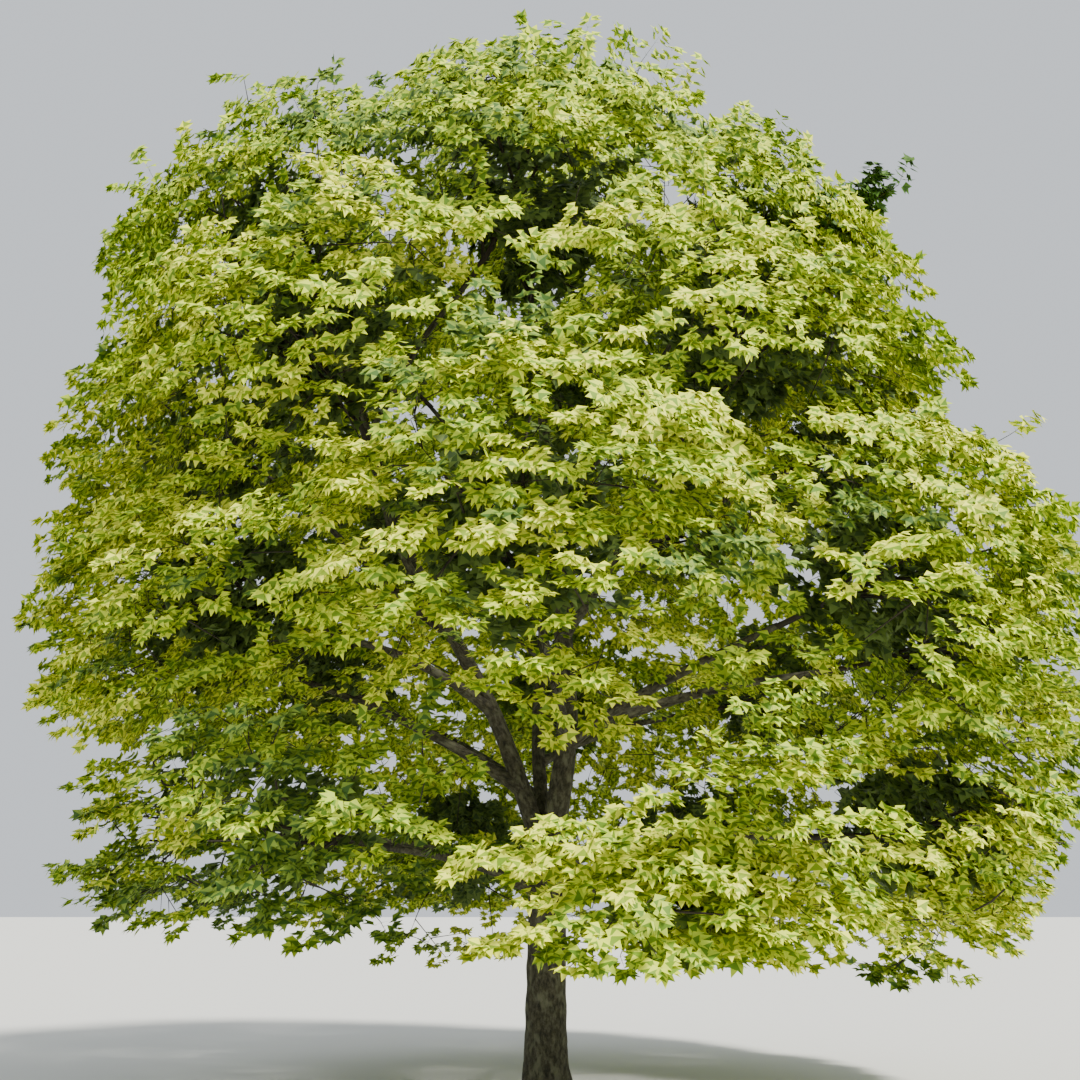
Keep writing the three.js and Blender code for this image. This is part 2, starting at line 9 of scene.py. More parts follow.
# %% The frame
import math
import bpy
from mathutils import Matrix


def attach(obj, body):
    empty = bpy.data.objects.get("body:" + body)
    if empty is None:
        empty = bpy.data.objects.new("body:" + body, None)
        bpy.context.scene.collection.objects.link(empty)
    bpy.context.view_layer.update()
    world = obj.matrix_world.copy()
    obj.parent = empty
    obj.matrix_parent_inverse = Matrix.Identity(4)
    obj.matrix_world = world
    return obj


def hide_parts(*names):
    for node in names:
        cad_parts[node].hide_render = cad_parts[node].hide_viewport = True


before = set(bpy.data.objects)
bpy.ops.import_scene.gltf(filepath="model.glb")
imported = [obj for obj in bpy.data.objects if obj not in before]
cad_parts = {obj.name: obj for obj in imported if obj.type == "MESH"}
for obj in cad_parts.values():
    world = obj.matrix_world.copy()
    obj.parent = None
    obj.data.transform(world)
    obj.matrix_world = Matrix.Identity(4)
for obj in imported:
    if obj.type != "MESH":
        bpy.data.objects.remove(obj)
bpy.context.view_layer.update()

from types import SimpleNamespace

import bpy
import numpy as np
from mathutils import Vector, noise

UP = np.array([0.0, 0.0, 1.0])
RIGHT = np.array([1.0, 0.0, 0.0])


# %% Putting an object into the scene
def placed(name, data):
    thing = bpy.data.objects.new(name, data)
    bpy.context.scene.collection.objects.link(thing)
    return thing


# %% [markdown]
# ## The camera
# The photograph was taken at eye height from the open side, looking a little up. The camera's place
# and lens were worked out from the trunk and the tree's outline. It comes first, so that every
# later step can be judged from there.

# %% The camera
CAMERA_PLACE = (-0.045, -11.5, 1.6)
CAMERA_TILT = math.radians(15.6)
LENS = 43  # millimetres
SENSOR = 36  # millimetres wide

camera = placed("camera", bpy.data.cameras.new("camera"))
camera.location = CAMERA_PLACE
camera.rotation_euler = (math.pi / 2 + CAMERA_TILT, 0, 0)
camera.data.lens = LENS
camera.data.sensor_width = SENSOR
bpy.context.scene.camera = camera
print("The camera stands", -CAMERA_PLACE[1], "m in front of the trunk")

# %% [markdown]
# ## Random numbers that repeat
# The same file has to grow the same tree each time. This small generator is the one that the solids
# were made with, so with the same seeds it puts every limb where its solid is.


# %% Random numbers
MULTIPLIER = 48271
MODULUS = 2147483647


def seeded(seed):
    state = seed

    def draw():
        nonlocal state
        state = state * MULTIPLIER % MODULUS
        return state / MODULUS

    return draw


# %% Lengths and directions, one to a row
def norms(rows):
    return np.linalg.norm(rows, axis=-1)


def unit(rows):
    return rows / np.maximum(norms(rows)[..., None], 1e-9)


def levelled(rows):
    return unit(rows * [1, 1, 0])


def shaken(rows, spread, rng):
    return unit(rows + rng.normal(0, spread, rows.shape))


# %% [markdown]
# ## The spaces of the foliage
# A broad maple in the open isn't one ball of leaves. Each bough carries its own mass towards the
# light, with dark seams between them. Five tiers of egg-shaped spaces give that, as in the solids.
# A space stops at the plane halfway to each neighbour, so no two masses grow through each other.

# %% The size of the head, in metres
TREE_HEIGHT = 9.1
HEAD_FOOT = 1.0
HEAD_RADIUS = 4.62
HEAD_WAIST = 4.9
FOOT_DRAW_IN = 0.06
FULLER_TO_RIGHT = 0.045
BEARING_JITTER = 0.16
FRONT = math.radians(270)
SPACE_GAP = 0.012
SMALLEST_MASS = 0.95
MASS_SIZE_SPREAD = 0.1
SPACE_SEED = 7321
MASS_SEED = 1000
MASS_SEED_STEP = 37

TIER_COLUMNS = "name count first height out round up wander tilt".split()
TIER_ROWS = [
    ("lower", 8, 287, 2.18, 1.4, 1.7, 1.18, 0.09, -10),
    ("middle", 8, 270, 3.85, 1.4, 1.75, 1.4, 0.11, 5),
    ("shoulder", 6, 240, 5.55, 1.5, 2.0, 1.4, 0.12, 20),
    ("upper", 6, 210, 7.1, 1.4, 1.75, 1.25, 0.09, 45),
    ("top", 1, 180, 7.85, 1.6, 1.6, 1.25, 0, 90),
]
TIERS = [SimpleNamespace(**dict(zip(TIER_COLUMNS, row))) for row in TIER_ROWS]

FRONT_DIP = 0.56
FRONT_THINNING = 0.8
FRONT_NARROWING = 0.25
LOW_SIDE = math.radians(300)
LOW_SIDE_DIP = 0.08
OPEN_SIDE = math.radians(190)
OPEN_HALF_WIDTH = math.radians(60)
OPEN_SIDE_LIFT = 0.2
OPEN_SIDE_THINNING = 0.22
OPEN_SIDE_DRAW_IN = 0.25
HIGH_SIDE = math.radians(208)
HIGH_SIDE_REACH = 0.52
SLIM_SIDE_DRAW_IN = {"shoulder": 0.6, "upper": 0.45}
TOP_OFFSET = 0.1


# %% How far from the trunk's line the centre of a mass stands
def ring_radius(bearing, z, out, up):
    radius = HEAD_RADIUS * (1 + FULLER_TO_RIGHT * math.cos(bearing)) - out
    if z < HEAD_WAIST:
        return radius * (1 - FOOT_DRAW_IN * (HEAD_WAIST - z) / (HEAD_WAIST - HEAD_FOOT))
    level = min(1, (z - HEAD_WAIST) / (TREE_HEIGHT - up - HEAD_WAIST))
    return radius * math.sqrt(1 - level**2)


# %% How much a bearing belongs to a side of the tree, from 0 to 1
def share_of_side(bearing, side, narrowness):
    return max(0, math.cos(bearing - side)) ** narrowness


# %% How far a mass stands out of the even ring, or within it where this is negative
def standing_out(tier_name, bearing):
    if tier_name == "lower":
        return -OPEN_SIDE_DRAW_IN * share_of_side(bearing, OPEN_SIDE, 1)
    high = HIGH_SIDE_REACH * share_of_side(bearing, HIGH_SIDE, 4) if tier_name == "upper" else 0
    return high - SLIM_SIDE_DRAW_IN.get(tier_name, 0) * share_of_side(bearing, 0, 1)


# %% One space for each mass
def foliage_space(tier, i, draw, order):
    single = tier.count == 1
    bearing = math.radians(tier.first + 360 / tier.count * i)
    bearing += (draw() - 0.5) * BEARING_JITTER * (not single)
    lowest = tier.name == "lower"
    facing = share_of_side(bearing, FRONT, 6) * lowest
    opening = share_of_side(bearing, OPEN_SIDE, 1) * lowest
    size = SMALLEST_MASS + MASS_SIZE_SPREAD * draw()
    height = tier.height + (draw() - 0.5) * 2 * tier.wander
    low_side = share_of_side(bearing, LOW_SIDE, 2) * lowest
    height += OPEN_SIDE_LIFT * opening - FRONT_DIP * facing - LOW_SIDE_DIP * low_side
    thickness = size * (1 - FRONT_THINNING * facing) * (1 - OPEN_SIDE_THINNING * opening)
    width = size * (1 - FRONT_NARROWING * facing)
    jut = standing_out(tier.name, bearing)
    even_ring = ring_radius(bearing, tier.height, tier.out * width, tier.up)
    ring = TOP_OFFSET if single else jut + even_ring
    aside = math.atan2(math.sin(bearing - OPEN_SIDE), math.cos(bearing - OPEN_SIDE))
    return SimpleNamespace(
        name=f"{tier.name}_foliage" + ("" if single else f"_{i + 1}"),
        tier=tier.name,
        outward=np.array([math.cos(bearing), math.sin(bearing), 0]),
        round=np.array([-math.sin(bearing), math.cos(bearing), 0]),
        tilt=math.radians(tier.tilt),
        centre=np.array([ring * math.cos(bearing), ring * math.sin(bearing), height]),
        half=np.array([tier.out * width, tier.round * width, tier.up * thickness]),
        dense=not lowest or abs(aside) > OPEN_HALF_WIDTH,
        jut=jut,
        seed=MASS_SEED + order * MASS_SEED_STEP,
    )


space_draw = seeded(SPACE_SEED)
spaces = []
for tier in TIERS:
    for i in range(tier.count):
        spaces.append(foliage_space(tier, i, space_draw, len(spaces)))

for space in spaces:
    between = np.array([other.centre - space.centre for other in spaces if other is not space])
    space.halfway = norms(between) / 2 - SPACE_GAP
    space.walls = unit(between)
print(len(spaces), "spaces, each with its own mass of foliage")


# %% How far a space reaches, for rows of directions from its centre
def egg_reach(space, directions):
    local = np.stack([directions @ space.outward, directions @ space.round, directions @ UP], axis=-1)
    return 1 / norms(local / space.half)


def wall_reach(space, directions):
    closing = directions @ space.walls.T
    return np.where(closing > 1e-6, space.halfway / np.maximum(closing, 1e-6), np.inf).min(axis=-1)


def reach(space, directions):
    return np.minimum(egg_reach(space, directions), wall_reach(space, directions))


def within(space, direction, share):
    return space.centre + direction * share * reach(space, direction[None])[0]


# %% [markdown]
# ## Limbs
# A limb is a smooth line with a radius that changes along it. Blender has curve objects for this,
# but other things grow more easily from a plain array of points. The line is a centripetal
# Catmull-Rom spline, which passes through each of its points without loops.


# %% A smooth line through a few points
LINE_STEPS = 60


def smooth_line(points):
    points = np.array(points)
    ends = np.vstack([2 * points[0] - points[1], points, 2 * points[-1] - points[-2]])
    t = np.linspace(0, 1, LINE_STEPS, endpoint=False)[:, None]
    stretches = []
    for a, b, c, d in zip(ends, ends[1:], ends[2:], ends[3:]):
        before, here, after = (math.sqrt(np.linalg.norm(q - p)) for p, q in ((a, b), (b, c), (c, d)))
        leaving = ((b - a) / before - (c - a) / (before + here) + (c - b) / here) * here
        arriving = ((c - b) / here - (d - b) / (here + after) + (d - c) / after) * here
        square = (3 * (c - b) - 2 * leaving - arriving) * t**2
        stretches.append(b + leaving * t + square + (2 * (b - c) + leaving + arriving) * t**3)
    return np.vstack([*stretches, points[-1:]])


# %% A limb, measured along its length
HEADING_STEP = 0.005
LIMB_TAPER = 1.15
HEIGHT_SAMPLES = 400


class Limb:
    """A line with a radius at each place along it, from 0 at its foot to 1 at its tip."""

    def __init__(self, name, points, foot, tip, across):
        self.name = name
        self.line = smooth_line(points)
        steps = norms(np.diff(self.line, axis=0))
        self.along = np.concatenate([[0], np.cumsum(steps)])
        self.length = self.along[-1]
        self.foot = foot
        self.tip = tip
        self.across = across

    def at(self, share):
        along = np.asarray(share) * self.length
        return np.stack([np.interp(along, self.along, axis) for axis in self.line.T], axis=-1)

    def heading(self, share):
        share = np.clip(share, HEADING_STEP, 1 - HEADING_STEP)
        return unit(self.at(share + HEADING_STEP) - self.at(share - HEADING_STEP))

    def radius(self, share):
        return self.tip + (self.foot - self.tip) * (1 - np.asarray(share)) ** LIMB_TAPER

    def share_at_height(self, z):
        shares = np.linspace(0, 1, HEIGHT_SAMPLES)
        return float(np.interp(z, self.at(shares)[:, 2], shares))


# %% [markdown]
# ## The trunk and its three main limbs
# The trunk is short and almost straight, swells into ridged roots at the ground, and forks a little
# higher than a tall person stands. Three main limbs leave the fork: the thickest climbs to the top
# of the head, one leans out to the left, and one to the back.

# %% The trunk's sizes, in metres
FORK_HEIGHT = 2.05
TRUNK_RADIUS = 0.172
TRUNK_WAIST = 0.158
FLARE_REACH = 0.078
FLARE_RISE = 0.21
FLARE_LOBES = 5
FLARE_LOBE_DEPTH = 0.3
TRUNK_LEAN = 0.025
BELOW_GROUND = 0.06
SHOULDER_RISE = 0.12
SHOULDER_DRAW_IN = 0.35
LIMB_START = 0.17

trunk_top = (TRUNK_LEAN, 0, FORK_HEIGHT)
trunk_points = [(0, 0, -BELOW_GROUND), (0, 0, 0.3), (TRUNK_LEAN * 0.4, 0, 1.1), trunk_top]
trunk = Limb("trunk", trunk_points, TRUNK_RADIUS, TRUNK_WAIST, RIGHT)


# %% The main limbs
LIMB_END_DROP = 0.72
LIMB_END_DRAW_IN = [0.82, 0.82, 1]
LIMB_BOW = [0.1, 0.1, 0]


def main_limb(name, to, foot, tip, through):
    space = next(s for s in spaces if s.name == to)
    start = np.array([TRUNK_LEAN, 0, FORK_HEIGHT - LIMB_START])
    end = (space.centre - UP * space.half[2] * LIMB_END_DROP) * LIMB_END_DRAW_IN
    bend = (np.array(through) + end) / 2 + end * LIMB_BOW
    limb = Limb(name, [start, through, bend, end], foot, tip, RIGHT)
    limb.space = space
    return limb


main_limbs = [
    main_limb("main_limb_right", "top_foliage", 0.112, 0.034, (0.2, 0.04, 3.16)),
    main_limb("main_limb_left", "upper_foliage_1", 0.088, 0.032, (-0.446, 0.06, 3.18)),
    main_limb("main_limb_back", "upper_foliage_5", 0.07, 0.03, (-0.06, 0.52, 2.96)),
]

# %% [markdown]
# ## Boughs
# Every other mass hangs on one bough. Low boughs leave the trunk almost level, and higher ones
# climb from the nearest main limb. Each stops a third of the way to the middle of its mass, as thin
# as three fingers, where the twigs take over.

# %% The boughs
BOUGHS = {
    "lower": SimpleNamespace(low=1.48, high=1.96, foot=0.046, tip=0.024, bow=0.09),
    "middle": SimpleNamespace(low=2.42, high=3.3, foot=0.056, tip=0.026, bow=0.06),
    "shoulder": SimpleNamespace(low=3.65, high=4.7, foot=0.048, tip=0.024, bow=-0.06),
    "upper": SimpleNamespace(low=5.0, high=5.9, foot=0.038, tip=0.022, bow=-0.08),
}
BOUGH_STOPS_AT = 0.66
BOUGH_SWAY = 0.26
BOUGH_RISES_AT = 0.3
BOUGH_BENDS_AT = 0.66
EARLY_BOW = 1.1
EARLY_SWAY = 0.5
THICKEST_BOUGH = 0.74
BOUGH_SEED = 911


def bough_to(space, draw):
    plan = BOUGHS[space.tier]
    height = plan.low + (plan.high - plan.low) * draw()
    parents = [trunk] if space.tier == "lower" else main_limbs
    feet = [(parent, parent.share_at_height(height)) for parent in parents]
    parent, share = min(feet, key=lambda foot: np.linalg.norm(foot[0].at(foot[1]) - space.centre))
    foot = parent.at(share)
    tip = within(space, unit(foot - space.centre), BOUGH_STOPS_AT)
    sway = (draw() - 0.5) * BOUGH_SWAY
    bow = UP * plan.bow
    aside = space.round * sway
    quarter = foot + (tip - foot) * BOUGH_RISES_AT + bow * EARLY_BOW + aside * EARLY_SWAY
    bend = foot + (tip - foot) * BOUGH_BENDS_AT + bow + aside
    thickness = min(plan.foot, THICKEST_BOUGH * parent.radius(share))
    name = space.name.replace("foliage", "bough")
    bough = Limb(name, [foot, quarter, bend, tip], thickness, plan.tip, space.round)
    bough.space = space
    return bough


bough_draw = seeded(BOUGH_SEED)
carried = [limb.space for limb in main_limbs]
boughs = [bough_to(space, bough_draw) for space in spaces if space not in carried]
print(len(boughs), "boughs, the longest", round(max(b.length for b in boughs), 2), "metres")

# %% [markdown]
# ## Meshes from arrays
# A leaf or a twig is a handful of triangles, and there are many thousand of them. Added one at a
# time they would take minutes, so each kind is one array of points and one of triangles.


# %% A mesh from arrays
def mesh_piece(name, points, triangles, materials, indices=None):
    mesh = bpy.data.meshes.new(name)
    mesh.vertices.add(len(points))
    mesh.vertices.foreach_set("co", points.astype(np.float32).ravel())
    mesh.loops.add(triangles.size)
    mesh.loops.foreach_set("vertex_index", triangles.astype(np.int32).ravel())
    mesh.polygons.add(len(triangles))
    mesh.polygons.foreach_set("loop_start", np.arange(0, triangles.size, 3, dtype=np.int32))
    if indices is not None:
        mesh.polygons.foreach_set("material_index", indices.astype(np.int32))
    mesh.update(calc_edges=True)
    for material in materials:
        mesh.materials.append(material)
    return placed(name, mesh)


# %% Many small meshes of the same build, joined
def joined(blocks):
    points = np.vstack([block[0] for block in blocks])
    starts = np.cumsum([0] + [len(block[0]) for block in blocks[:-1]])
    triangles = np.vstack([block[1] + start for block, start in zip(blocks, starts)])
    return points, triangles


# %% [markdown]
# ## Bark
# Shallow furrows run up the stem and net the bark. They are real relief: noise stretched along the
# limb says how deep the bark is cut at each point, and a finer noise in the material does the rest.
# To follow each limb round its bends, every point stores where it would lie if its limb were
# straightened out, and the noise is read there.

# %% Depth of the furrows, for one place on a straightened limb
FURROW_WIDTH = 0.022
FURROW_STRETCH = 0.22
FURROW_DEPTH = 0.0055
THIN_WOOD_FURROW = 0.25
KNOB_SIZE = 0.16
KNOB_HEIGHT = 0.05  # share of the radius


def furrow(place, radius):
    fine = Vector((place[0], place[1], place[2] * FURROW_STRETCH)) / FURROW_WIDTH
    ridge = 1 - abs(noise.noise(fine)) * 2
    knobs = noise.noise(Vector(place) / KNOB_SIZE)
    depth = FURROW_DEPTH * min(1, radius / TRUNK_RADIUS + THIN_WOOD_FURROW)
    return depth * (0.5 - ridge**3) + radius * KNOB_HEIGHT * knobs


# %% A limb's surface
COLLAR_LENGTH = 1.6  # in radii of the foot
PATTERN_SHIFT = 7  # likewise


def tube_faces(rings, sides):
    corner = np.arange(rings * sides).reshape(rings, sides)
    right = np.roll(corner, -1, axis=1)
    quads = np.stack([corner, right, right + sides, corner + sides], axis=-1).reshape(-1, 4)
    return np.vstack([quads[:, [0, 1, 2]], quads[:, [0, 2, 3]]])


def bark_tube(limb, sides, spacing, shaped=None, collar=0.0, start=0.0):
    rings = max(6, int(limb.length * (1 - start) / spacing))
    shares = np.linspace(start, 1, rings + 1)
    centres = limb.at(shares)
    headings = limb.heading(shares)
    side = unit(limb.across - (headings @ limb.across)[:, None] * headings)
    other = np.cross(headings, side)
    turns = np.linspace(0, 2 * math.pi, sides, endpoint=False)
    points = []
    places = []
    for share, centre, x, y in zip(shares, centres, side, other):
        along = share * limb.length
        swell = 1 + collar * math.exp(-along / (limb.foot * COLLAR_LENGTH))
        for turn in turns:
            radius = shaped(centre[2], turn) if shaped else float(limb.radius(share)) * swell
            cosine, sine = math.cos(turn), math.sin(turn)
            place = (radius * cosine, radius * sine, along + PATTERN_SHIFT * limb.foot)
            radius += furrow(place, radius)
            points.append(centre + radius * (x * cosine + y * sine))
            places.append(place)
    triangles = tube_faces(rings, sides)
    last = rings * sides
    for ring, end in ((0, centres[0]), (last, centres[-1] + headings[-1] * float(limb.tip) * 0.5)):
        points.append(end)
        places.append((0, 0, ring / sides * spacing))
        rim = ring + np.arange(sides)
        fan = np.stack([rim, np.roll(rim, -1), np.full(sides, len(points) - 1)], axis=-1)
        triangles = np.vstack([triangles, fan if ring else fan[:, ::-1]])
    return np.array(points), triangles, np.array(places)


# %% The trunk's section: taper, ridged root flare, and a shoulder under the fork
def trunk_section(z, around):
    taper = TRUNK_RADIUS + (TRUNK_WAIST - TRUNK_RADIUS) * min(1, z / FORK_HEIGHT)
    lobes = 1 + FLARE_LOBE_DEPTH * math.cos(FLARE_LOBES * around)
    flare = FLARE_REACH * math.exp(-max(0, z) / FLARE_RISE) * lobes
    shoulder = max(0, (z - FORK_HEIGHT + SHOULDER_RISE) / SHOULDER_RISE)
    return (taper + flare) * (1 - SHOULDER_DRAW_IN * shoulder**2)


# %% [markdown]
# ## Node maths
# A material is a graph of nodes, but its maths reads better as expressions. This class wraps one
# output of a node. Its operators make Math nodes, and add() makes any other kind.


# %% A small class for node maths
class Wire:
    """One output in a material's node graph."""

    def __init__(self, tree, socket=None):
        self.tree = tree
        self.socket = socket

    def add(self, kind, settings=None, inputs=None, output=0):
        node = self.tree.nodes.new(kind)
        for name, value in (settings or {}).items():
            if name == "stops":
                ramp = node.color_ramp
                ramp.elements.remove(ramp.elements[0])
                ramp.elements[0].position, ramp.elements[0].color = value[0]
                for place, colour in value[1:]:
                    ramp.elements.new(place).color = colour
            else:
                setattr(node, name, value)
        for name, value in (inputs or {}).items():
            if isinstance(value, Wire):
                self.tree.links.new(value.socket, node.inputs[name])
            else:
                node.inputs[name].default_value = value
        return Wire(self.tree, node.outputs[output])

    def maths(self, operation, first, second):
        return self.add("ShaderNodeMath", {"operation": operation}, {0: first, 1: second})

    def __add__(self, other):
        return self.maths("ADD", self, other)

    def __mul__(self, other):
        return self.maths("MULTIPLY", self, other)

    def __sub__(self, other):
        return self.maths("SUBTRACT", self, other)

    def __rsub__(self, other):
        return self.maths("SUBTRACT", other, self)

    __radd__ = __add__
    __rmul__ = __mul__


# %% Colours given as they look on a screen
def colour(red, green, blue):
    shares = [c / 255 for c in (red, green, blue)]
    return (*(c / 12.92 if c <= 0.04 else ((c + 0.055) / 1.055) ** 2.4 for c in shares), 1)


def plain_material(name, base, roughness, gloss=0.5):
    material = bpy.data.materials.new(name)
    material.use_nodes = True
    shader = material.node_tree.nodes["Principled BSDF"]
    shader.inputs["Base Color"].default_value = base
    shader.inputs["Roughness"].default_value = roughness
    shader.inputs["Specular IOR Level"].default_value = gloss
    return material


# %% [markdown]
# ## The finish of the bark
# The bark is a dark olive-brown, paler on the ridges and almost black in the furrows, with
# grey-green patches of lichen up to the size of a palm. Two noises mix the browns and drive the
# roughness and a Bump node, so that colour and relief agree. A third, broader one says where the
# lichen has grown.

# %% The bark material
BARK_FURROW = colour(28, 27, 20)
BARK_MIDDLE = colour(62, 58, 43)
BARK_RIDGE = colour(98, 94, 74)
BARK_LICHEN = colour(118, 118, 94)
PLATE_STRETCH = 0.5  # the patches of colour are rounder than the furrows
PLATE_SCALE = 34
PLATE_SHARE = 0.72
GRAIN_SCALE = 190
GRAIN_SHARE = 0.28
LICHEN_SCALE = 15


def noise_at(place, scale, detail, roughness):
    values = {"Vector": place, "Scale": scale, "Detail": detail, "Roughness": roughness}
    return place.add("ShaderNodeTexNoise", inputs=values)


def bark_material():
    material = plain_material("bark", BARK_MIDDLE, 0.9)
    tree = material.node_tree
    start = Wire(tree)
    shader = tree.nodes["Principled BSDF"]
    place = start.add("ShaderNodeAttribute", {"attribute_name": "straightened"}, output="Vector")
    squeezed = place.add("ShaderNodeMapping", inputs={"Vector": place, "Scale": (1, 1, PLATE_STRETCH)})
    plates = noise_at(squeezed, PLATE_SCALE, 5, 0.62)
    grain = noise_at(place, GRAIN_SCALE, 3, 0.6)
    patches = noise_at(squeezed, LICHEN_SCALE, 3, 0.6)
    height = plates * PLATE_SHARE + grain * GRAIN_SHARE
    stops = [(0.34, BARK_FURROW), (0.47, BARK_MIDDLE), (0.64, BARK_RIDGE)]
    bare = place.add("ShaderNodeValToRGB", {"stops": stops}, {"Fac": height})
    cover = {"Value": patches, "From Min": 0.52, "From Max": 0.66, "To Max": 0.6}
    grown_over = place.add("ShaderNodeMapRange", inputs=cover)
    colours = {"Factor": grown_over, 6: bare, 7: BARK_LICHEN}
    mixed = place.add("ShaderNodeMix", {"data_type": "RGBA", "blend_type": "MIX"}, colours, 2)
    bump = place.add("ShaderNodeBump", inputs={"Strength": 0.55, "Distance": 0.006, "Height": height})
    tree.links.new(mixed.socket, shader.inputs["Base Color"])
    tree.links.new((1.05 - height * 0.3).socket, shader.inputs["Roughness"])
    tree.links.new(bump.socket, shader.inputs["Normal"])
    return material


bark = bark_material()


# %% Trunk, limbs and boughs as one kind of piece
def bark_piece(name, tubes, nodes):
    points, triangles = joined(tubes)
    piece = mesh_piece(name, points, triangles, [bark])
    places = np.vstack([tube[2] for tube in tubes])
    straightened = piece.data.attributes.new("straightened", "FLOAT_VECTOR", "POINT")
    straightened.data.foreach_set("vector", places.astype(np.float32).ravel())
    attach(piece, "root")
    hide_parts(*nodes)
    print(name, len(triangles), "triangles")


ground = BELOW_GROUND / trunk.length
trunk_tube = bark_tube(trunk, sides=72, spacing=0.02, shaped=trunk_section, start=ground)
bark_piece("trunk_bark", [trunk_tube], ["trunk"])
limb_tubes = [bark_tube(limb, sides=26, spacing=0.035, collar=0.12) for limb in main_limbs]
bark_piece("limb_bark", limb_tubes, [limb.name for limb in main_limbs])
bough_tubes = [bark_tube(bough, sides=12, spacing=0.06, collar=0.5) for bough in boughs]
bark_piece("bough_bark", bough_tubes, [bough.name for bough in boughs])

# %% [markdown]
# ## Stems and ribs
# Inside its space a bough goes on as a stem. Six ribs leave the stem like those of a parasol held
# out to the light: one over the middle and five to the rim. In the solids each carries up to three
# large blades. Here each is a living branch that the finer twigs grow from.

# %% The ribs of one mass, by the rule of the solids
RIBS = 6
OVER_MIDDLE = SimpleNamespace(root=(-22, 0.82), tip=(25, 0.97))
TO_RIM = SimpleNamespace(root=(32, 0.76), tip=(76, 0.98))
WOOD_SHARE = 0.78  # of the way to the surface, where leaves hide the end
STEM_POINTS = 13
STEM_REACH = 0.22
STEM_RADIUS = 0.032
STEM_TIP = 0.012
RIB_RADIUS = 0.02
RIB_TIP = 0.004
RIB_JITTER = 0.3
RIBS_FROM = 0.25  # along the stem
RIBS_SPREAD = 0.7
GOLDEN_SHARE = 0.618
STRAIGHT_SHARE = 0.45  # before a stem or a rib bends


def stem_and_ribs(space, wood):
    draw = seeded(space.seed)
    foot = wood.at(1)
    end = space.centre + space.outward * space.half[0] * STEM_REACH
    bend = foot + wood.heading(1) * np.linalg.norm(end - foot) * STRAIGHT_SHARE
    s = np.linspace(0, 1, STEM_POINTS)[:, None]
    stem = foot * (1 - s) ** 2 + 2 * bend * s * (1 - s) + end * s**2
    light = space.outward * math.cos(space.tilt) + UP * math.sin(space.tilt)
    rise = -space.outward * math.sin(space.tilt) + UP * math.cos(space.tilt)
    first_turn = draw() * 2 * math.pi
    ribs = []
    for k in range(RIBS):
        turn = first_turn + (k + RIB_JITTER * (draw() - 0.5)) * 2 * math.pi / (RIBS - 1)
        aside = space.round * math.cos(turn) + rise * math.sin(turn)
        shape = TO_RIM if k else OVER_MIDDLE
        ends = []
        for angle, share in (shape.root, shape.tip):
            way = light * math.cos(math.radians(angle)) + aside * math.sin(math.radians(angle))
            ends.append(within(space, way, share * WOOD_SHARE))
        root, tip = ends
        leaves_at = RIBS_FROM + RIBS_SPREAD * (k * GOLDEN_SHARE % 1)
        start = np.array([np.interp(leaves_at, s[:, 0], axis) for axis in stem.T])
        bend = root + (start - root) * STRAIGHT_SHARE
        ribs.append(Limb("rib", [start, bend, root, tip], RIB_RADIUS, RIB_TIP, light))
    return stem, ribs


# %% [markdown]
# ## Where the leaves are
# Leaves grow where there is light, so nearly all of them are in an outer layer, and only some
# larger, darker ones inside. Seen close, that layer is a wall of shingles: each side branch ends in
# a flat fan of shoots that slopes down and away from the trunk, lit on top, with a dark gap under
# it. So that there are no holes and crowds, a golden angle is turned from one fan to the next, as
# between the seeds of a sunflower. The fans cover the outline of the whole head, which is a little
# flattened on the right, and more thinly the sides where a mass faces its neighbours. Each is
# filled with shoots in the same way.

# %% Even directions, and the size of a mass's surface
GOLDEN_ANGLE = math.pi * (3 - math.sqrt(5))
WAY_JITTER = 0.3
AREA_POWER = 1.6075  # for an ellipsoid


def even_directions(count, rng):
    height = 1 - 2 * (np.arange(count) + 0.5) / count
    turn = np.arange(count) * GOLDEN_ANGLE + rng.uniform(0, 2 * math.pi)
    flat = np.sqrt(1 - height**2)
    directions = np.stack([flat * np.cos(turn), flat * np.sin(turn), height], axis=-1)
    return shaken(directions, WAY_JITTER / math.sqrt(count), rng)


def egg_area(half):
    a, b, c = half**AREA_POWER
    return 4 * math.pi * ((a * b + a * c + b * c) / 3) ** (1 / AREA_POWER)


# %% Where the head is flattened, and how deep places lie in it
FLATTENED_AT = math.radians(342)
FLATTENED_HEIGHTS = (1, 2.8, 4.8, 6, 7, 8)
FLATTENED_BY = (1.0, 0, 0, 0.42, 0.32, 0)


def flattened_by(bearings, heights):
    nearness = np.clip(np.cos(bearings - FLATTENED_AT), 0, 1) ** 2
    return nearness * np.interp(heights, FLATTENED_HEIGHTS, FLATTENED_BY)


def head_profile(heights):
    """How far the head is drawn in below its waist, and how far up its dome a height is."""
    drawn_in = FOOT_DRAW_IN * np.clip((HEAD_WAIST - heights) / (HEAD_WAIST - HEAD_FOOT), 0, 1)
    return drawn_in, np.clip((heights - HEAD_WAIST) / (TREE_HEIGHT - HEAD_WAIST), 0, None)


def depth_in_head(points):
    bearing = np.arctan2(points[:, 1], points[:, 0])
    radius = HEAD_RADIUS * (1 + FULLER_TO_RIGHT * np.cos(bearing))
    drawn_in, level = head_profile(points[:, 2])
    across = np.hypot(points[:, 0], points[:, 1]) / (radius * (1 - drawn_in))
    return (1 - np.hypot(across, level)) * radius - flattened_by(bearing, points[:, 2])


# %% A mass stands out of its ring, or within it, less and less towards the top
STANDS_OUT_BELOW = 7.3
RING_AGAIN_AT = 8.8


def standing_out_at(space, heights):
    return space.jut * np.interp(heights, (STANDS_OUT_BELOW, RING_AGAIN_AT), (1, 0))


